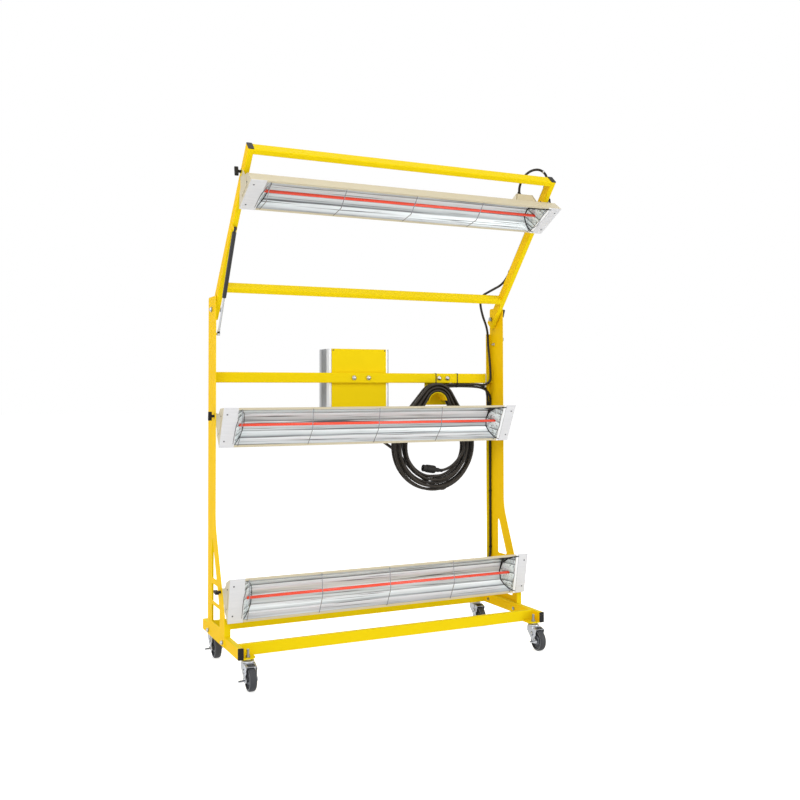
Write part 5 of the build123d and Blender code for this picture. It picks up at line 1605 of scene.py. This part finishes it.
class LAMP_OT_control_box(bpy.types.Operator):
    """Finishes the control box and adds its lights, display bezel, cover screws and gasket"""

    bl_idname = "lamp.control_box"
    bl_label = "Control box"

    def execute(self, context):
        painted(ribbed_aluminium(), "box_body")
        painted(keypad_print(), "keypad_plate")
        painted(circuit_green(), "circuit_board")
        painted(black_plastic("gland nylon", shade(30, 30, 32), 420.0), "cable_glands")
        buttons = black_plastic("button black", shade(22, 22, 24), 900.0)
        painted(buttons, "mode_button", "start_button", "stop_button")

        low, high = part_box("box_covers")
        green, red = shade(46, 168, 74), shade(112, 22, 22)
        for number, up in enumerate(LIGHT_HEIGHTS, 1):
            colour = green if number == 1 else red
            finish = Finish(f"status light {number}")
            tint = finish.blend(finish.grain(800.0), colour, toned(colour, 1.4, 0.01))
            lens = finish.made(Base_Color=tint, Roughness=0.18, Coat_Weight=0.5)
            place = frame_at((LIGHT_ACROSS, high.y + LIGHT_PROUD, up * MM), (0, 1, 0))
            Form().turned(LENS, place, 16).piece(f"status_light_{number}", [lens], "stand")

        bezel = Form()
        place = frame_at((KEYPAD[0] * MM, high.y + BEZEL_PROUD, DISPLAY[1] * MM), (0, 1, 0))
        outer, inner = oblong(*BEZEL_OUTER), oblong(*BEZEL_INNER)
        for index in range(4):
            after = (index + 1) % 4
            side = [outer[index], outer[after], inner[after], inner[index]]
            bezel.prism(side, place, *BEZEL_FACES)
        bezel.piece("display_bezel", [buttons], "stand")

        zinc = zinc_plate("cover screw", shade(92, 94, 98))
        # Painted shade in the cover screws' crosses; the gasket lines use the same dark finish
        slot_dark = black_plastic("cover screw slot", shade(38, 38, 40))
        screws = Form()
        for side in (-1, 1):
            for up in (low.z + COVER_SCREW_INSET, high.z - COVER_SCREW_INSET):
                for way, y in ((-1, low.y), (1, high.y)):
                    place = frame_at((side * COVER_SCREW_ACROSS, y, up), (0, way, 0))
                    screw_head(screws, place, sizes().screw_radius)
        screws.piece("cover_screws", [zinc, slot_dark], "stand")

        gasket = Form()
        half_wide, half_thick = GASKET_HALF
        for y in (low.y + GASKET_INSET, high.y - GASKET_INSET):
            for side in (-1, 1):
                place = frame_at((side * GASKET_ACROSS, y, (low.z + high.z) / 2), (0, 1, 0))
                gasket.prism(oblong(half_wide, (high.z - low.z) / 2), place, -half_thick, half_thick)
        gasket.piece("cover_gasket", [slot_dark], "stand")
        return {"FINISHED"}


def wheel_hub(name, axle, finish):
    """Hub rings and ribs on both sides of a wheel."""
    hub = Form()
    for way in (-1, 1):
        place = frame_at(axle, (way, 0, 0), (0, 1, 0))
        hub.turned(HUB, place, 24)
        for step in range(HUB_RIBS):
            hub.prism(HUB_RIB, place @ Matrix.Rotation(2 * pi * step / HUB_RIBS, 4, "Z"), *HUB_RIB_FACES)
    hub.piece(f"wheel_hub_{name}", [finish], f"caster_wheel_{name}")


def caster_nose(name, axle, finishes):
    """Slotted nose of the fork over the wheel with painted shade in its slots, its side webs and the brake
    cams.
    """
    nose = Form()
    place = frame_at(axle, (1, 0, 0), (0, 1, 0))
    sheet = [(y, z + NOSE_THICK) for y, z in NOSE_LINE] + list(reversed(NOSE_LINE))
    nose.prism(sheet, place, -NOSE_HALF, NOSE_HALF)
    for faces in NOSE_WEB_FACES:
        nose.prism(NOSE_WEB, place, *faces)
    # Painted shade: dark blocks through the sheet where its slots are
    for y, z in NOSE_SLOT_SHADES:
        nose.prism(oblong(*NOSE_SLOT_SHADE, y, z), place, -NOSE_SLOT_SHADE_HALF, NOSE_SLOT_SHADE_HALF, 1)
    for way in (-1, 1):
        across, behind, up = CAM_PLACE
        place = frame_at(axle + Vector((way * across, behind, up)), (way, 0, 0), (0, 1, 0))
        nose.turned(CAM_RING, place, 24, 1)
        nose.turned(CAM_DISC, place, 24)
    nose.piece(f"wheel_fender_{name}", finishes, f"caster_fork_{name}")


def brake_pad(name, finishes):
    """Ribbed pad on a brake lever."""
    pad = Form()
    low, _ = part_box(f"caster_brake_{name}")
    place = frame_at((low.x + PAD_ACROSS, low.y + PAD_BEHIND, PAD_HIGH), (0, 0, 1))
    half_wide, half_long = PAD_HALF
    pad.prism([(x * half_wide, y * half_long) for x, y in PAD_CORNERS], place, 0.0, PAD_THICK)
    for rib in range(PAD_RIBS):
        middle = (rib - (PAD_RIBS - 1) / 2) * PAD_RIB_PITCH
        pad.prism(oblong(*PAD_RIB, 0.0, middle), place, *PAD_RIB_FACES, 1)
    pad.piece(f"brake_pad_{name}", finishes, f"caster_brake_{name}")


class LAMP_OT_casters(bpy.types.Operator):
    """Finishes the casters and adds their swivel races, wheel hubs, noses and brake pads"""

    bl_idname = "lamp.casters"
    bl_label = "Casters"

    def execute(self, context):
        zinc = zinc_plate("caster zinc", shade(206, 208, 212))
        dark = black_plastic("brake pad and slot shade", shade(40, 40, 43))
        grey = black_plastic("hub cap", shade(104, 106, 111))
        for row in ("front", "rear"):
            for side in ("left", "right"):
                name = f"{row}_{side}"
                painted(zinc, f"caster_fork_{name}", f"caster_brake_{name}")
                low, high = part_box(f"caster_wheel_{name}")
                axle = (low + high) / 2
                painted(wheel_finish(name, axle), f"caster_wheel_{name}")
                wheel_hub(name, axle, grey)
                caster_nose(name, axle, [zinc, dark])
                place = frame_at((axle.x, axle.y + RACE_BEHIND, RACE_HIGH), (0, 0, 1))
                race = Form().turned(SWIVEL_RACE, place, 32)
                race.piece(f"swivel_race_{name}", [zinc], f"caster_fork_{name}")
                brake_pad(name, [zinc, dark])
        return {"FINISHED"}


class LAMP_OT_fasteners(bpy.types.Operator):
    """Adds the domed bolt covers, the weld beads and the wing screw"""

    bl_idname = "lamp.fasteners"
    bl_label = "Small fasteners"

    def execute(self, context):
        zinc = zinc_plate("dome zinc", shade(206, 208, 212))
        domes = Form()
        bar_face = spot(0.0, BAR_FRONT - BAR_DOME_AHEAD, (BAR_LOW + BAR_HIGH) / 2)
        for across in BAR_DOMES:
            place = frame_at(bar_face + Vector((across * MM, 0, 0)), (0, -1, 0))
            dome_head(domes, place, BAR_DOME_RADIUS)
        for side in (-1, 1):
            seats = [(behind, FOOT_DOME_HIGH, FOOT_DOME_RADIUS) for behind in FOOT_DOMES]
            seats.append((0.0, PIVOT_HIGH, PIVOT_DOME_RADIUS))
            for behind, up, radius in seats:
                place = frame_at(spot(side * PANEL_FACE, behind, up), (side, 0, 0), (0, 1, 0))
                dome_head(domes, place, radius)
        domes.piece("bolt_domes", [zinc], "stand")

        yellow = powder_coat("bead powder coat", tuple(colours().yellow))
        legs = Form()
        low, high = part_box("base_crossbars")
        rows = [low.y + inset for inset in LEG_BEADS_FRONT] + [high.y - inset for inset in LEG_BEADS_REAR]
        for side in (-1, 1):
            for y in rows:
                line = [(side * LEG_BEAD_ACROSS, y, up) for up in LEG_BEAD_HEIGHTS]
                legs.tube(line, LEG_BEAD_RADII, 8)
        legs.piece("leg_weld_beads", [yellow], "stand")

        arms = Form()
        for side in (-1, 1):
            for along in ARM_BEADS_ALONG:
                for behind in (-ARM_BEAD_BEHIND, ARM_BEAD_BEHIND):
                    line = [on_arm(side * ARM_BEAD_ACROSS, along + step, behind) for step in ARM_BEAD_STEPS]
                    arms.tube(line, ARM_BEAD_RADII, 8)
        arms.piece("arm_weld_beads", [yellow], "swing")

        wing = Form()
        place = frame_at(spot(*WING_PLACE), (-1, 0, 0), (0, 1, 0))
        wing.turned(WING, place, 18)
        for way in (-1, 1):
            wing.prism([(way * x, y) for x, y in WING_BLADE], place, *WING_BLADE_FACES)
        wing.piece("wing_screw", [zinc], "stand", bevel=0.0005)
        return {"FINISHED"}


class LAMP_OT_stage(bpy.types.Operator):
    """Sets the floor, the backdrop, the soft lights and the camera"""

    bl_idname = "lamp.stage"
    bl_label = "Studio"

    def execute(self, context):
        scene = context.scene
        scene.view_settings.view_transform = "Standard"

        white = (1.0, 1.0, 1.0, 1.0)
        finish = Finish("studio floor")
        colour = finish.blend(finish.grain(0.6, 2.0), tuple(colours().floor), shade(250, 250, 250))
        matt = finish.node("ShaderNodeBsdfDiffuse", None, {"Color": colour})
        lift = finish.node("ShaderNodeEmission", None, {"Color": white, "Strength": FLOOR_LIFT})
        plain = finish.node("ShaderNodeEmission", None, {"Color": white, "Strength": 1.0})
        lifted = finish.node("ShaderNodeAddShader", None, {0: matt, 1: lift})
        seen = finish.node("ShaderNodeMixShader", None, {0: finish.ray("Camera"), 1: matt, 2: lifted})
        mirrored = finish.ray("Glossy") + finish.ray("Transmission")
        finish.closed(finish.node("ShaderNodeMixShader", None, {0: mirrored, 1: seen, 2: plain}))
        floor = Form()
        floor.face(floor.ring(Vector((x, y, 0)) for x, y in oblong(FLOOR_HALF, FLOOR_HALF)), 0)
        floor.piece("studio_floor", [finish.material], None)

        finish = Finish("studio sky", sky=True)
        dim = finish.node("ShaderNodeBackground", None, {"Color": white, "Strength": SKY_DIM})
        plain = finish.node("ShaderNodeBackground", None, {"Color": white, "Strength": 1.0})
        seen = finish.ray("Camera") + finish.ray("Glossy") + finish.ray("Transmission")
        finish.closed(finish.node("ShaderNodeMixShader", None, {0: seen, 1: dim, 2: plain}))
        scene.world = finish.material

        for name, place, aim, wide, power in LIGHTS:
            data = bpy.data.lights.new(name, "AREA")
            data.shape = "SQUARE"
            data.size = wide
            data.energy = power
            light = bpy.data.objects.new(name, data)
            scene.collection.objects.link(light)
            light.location = place
            light.rotation_euler = (Vector(aim) - Vector(place)).to_track_quat("-Z", "Y").to_euler()

        data = bpy.data.cameras.new("camera")
        camera = bpy.data.objects.new("camera", data)
        scene.collection.objects.link(camera)
        yaw, pitch, roll = radians(CAMERA_YAW), radians(CAMERA_PITCH), radians(CAMERA_ROLL)
        ahead = Vector((sin(yaw) * cos(pitch), cos(yaw) * cos(pitch), sin(pitch)))
        level_right = Vector((cos(yaw), -sin(yaw), 0))
        level_up = level_right.cross(ahead)
        right = level_right * cos(roll) + level_up * sin(roll)
        up = level_up * cos(roll) - level_right * sin(roll)
        turn = Matrix((right, up, -ahead)).transposed().to_4x4()
        camera.matrix_world = Matrix.Translation(CAMERA_PLACE) @ turn
        data.sensor_width = CAMERA_SENSOR
        data.lens = CAMERA_LENS
        data.shift_x, data.shift_y = CAMERA_SHIFT
        scene.camera = camera
        return {"FINISHED"}


class LAMP_PT_panel(bpy.types.Panel):
    """Lists the lamp's steps and sizes in the sidebar."""

    bl_idname = "LAMP_PT_panel"
    bl_label = "Curing Lamp"
    bl_space_type = "VIEW_3D"
    bl_region_type = "UI"
    bl_category = "Curing Lamp"

    def draw(self, context):
        for operator in STEPS:
            self.layout.operator(operator.bl_idname)
        for group in (context.scene.lamp_sizes, context.scene.lamp_colours):
            column = self.layout.column()
            for name in group.__annotations__:
                column.prop(group, name)


STEPS = (
    LAMP_OT_stage,
    LAMP_OT_paint_frame,
    LAMP_OT_supply_cable,
    LAMP_OT_fixture_cables,
    LAMP_OT_cable_ties,
    LAMP_OT_fixtures,
    LAMP_OT_control_box,
    LAMP_OT_casters,
    LAMP_OT_fasteners,
)
CLASSES = (LampSizes, LampColours, *STEPS, LAMP_PT_panel)


def register():
    """Makes the sizes, the colours, the steps and the panel known to Blender."""
    for made in CLASSES:
        bpy.utils.register_class(made)
    bpy.types.Scene.lamp_sizes = PointerProperty(type=LampSizes)
    bpy.types.Scene.lamp_colours = PointerProperty(type=LampColours)


def unregister():
    """Takes them out again."""
    del bpy.types.Scene.lamp_colours
    del bpy.types.Scene.lamp_sizes
    for made in reversed(CLASSES):
        bpy.utils.unregister_class(made)


def main():
    """Builds the whole scene."""
    register()
    for operator in STEPS:
        group, name = operator.bl_idname.split(".")
        getattr(getattr(bpy.ops, group), name)()


if __name__ == "__main__":
    main()
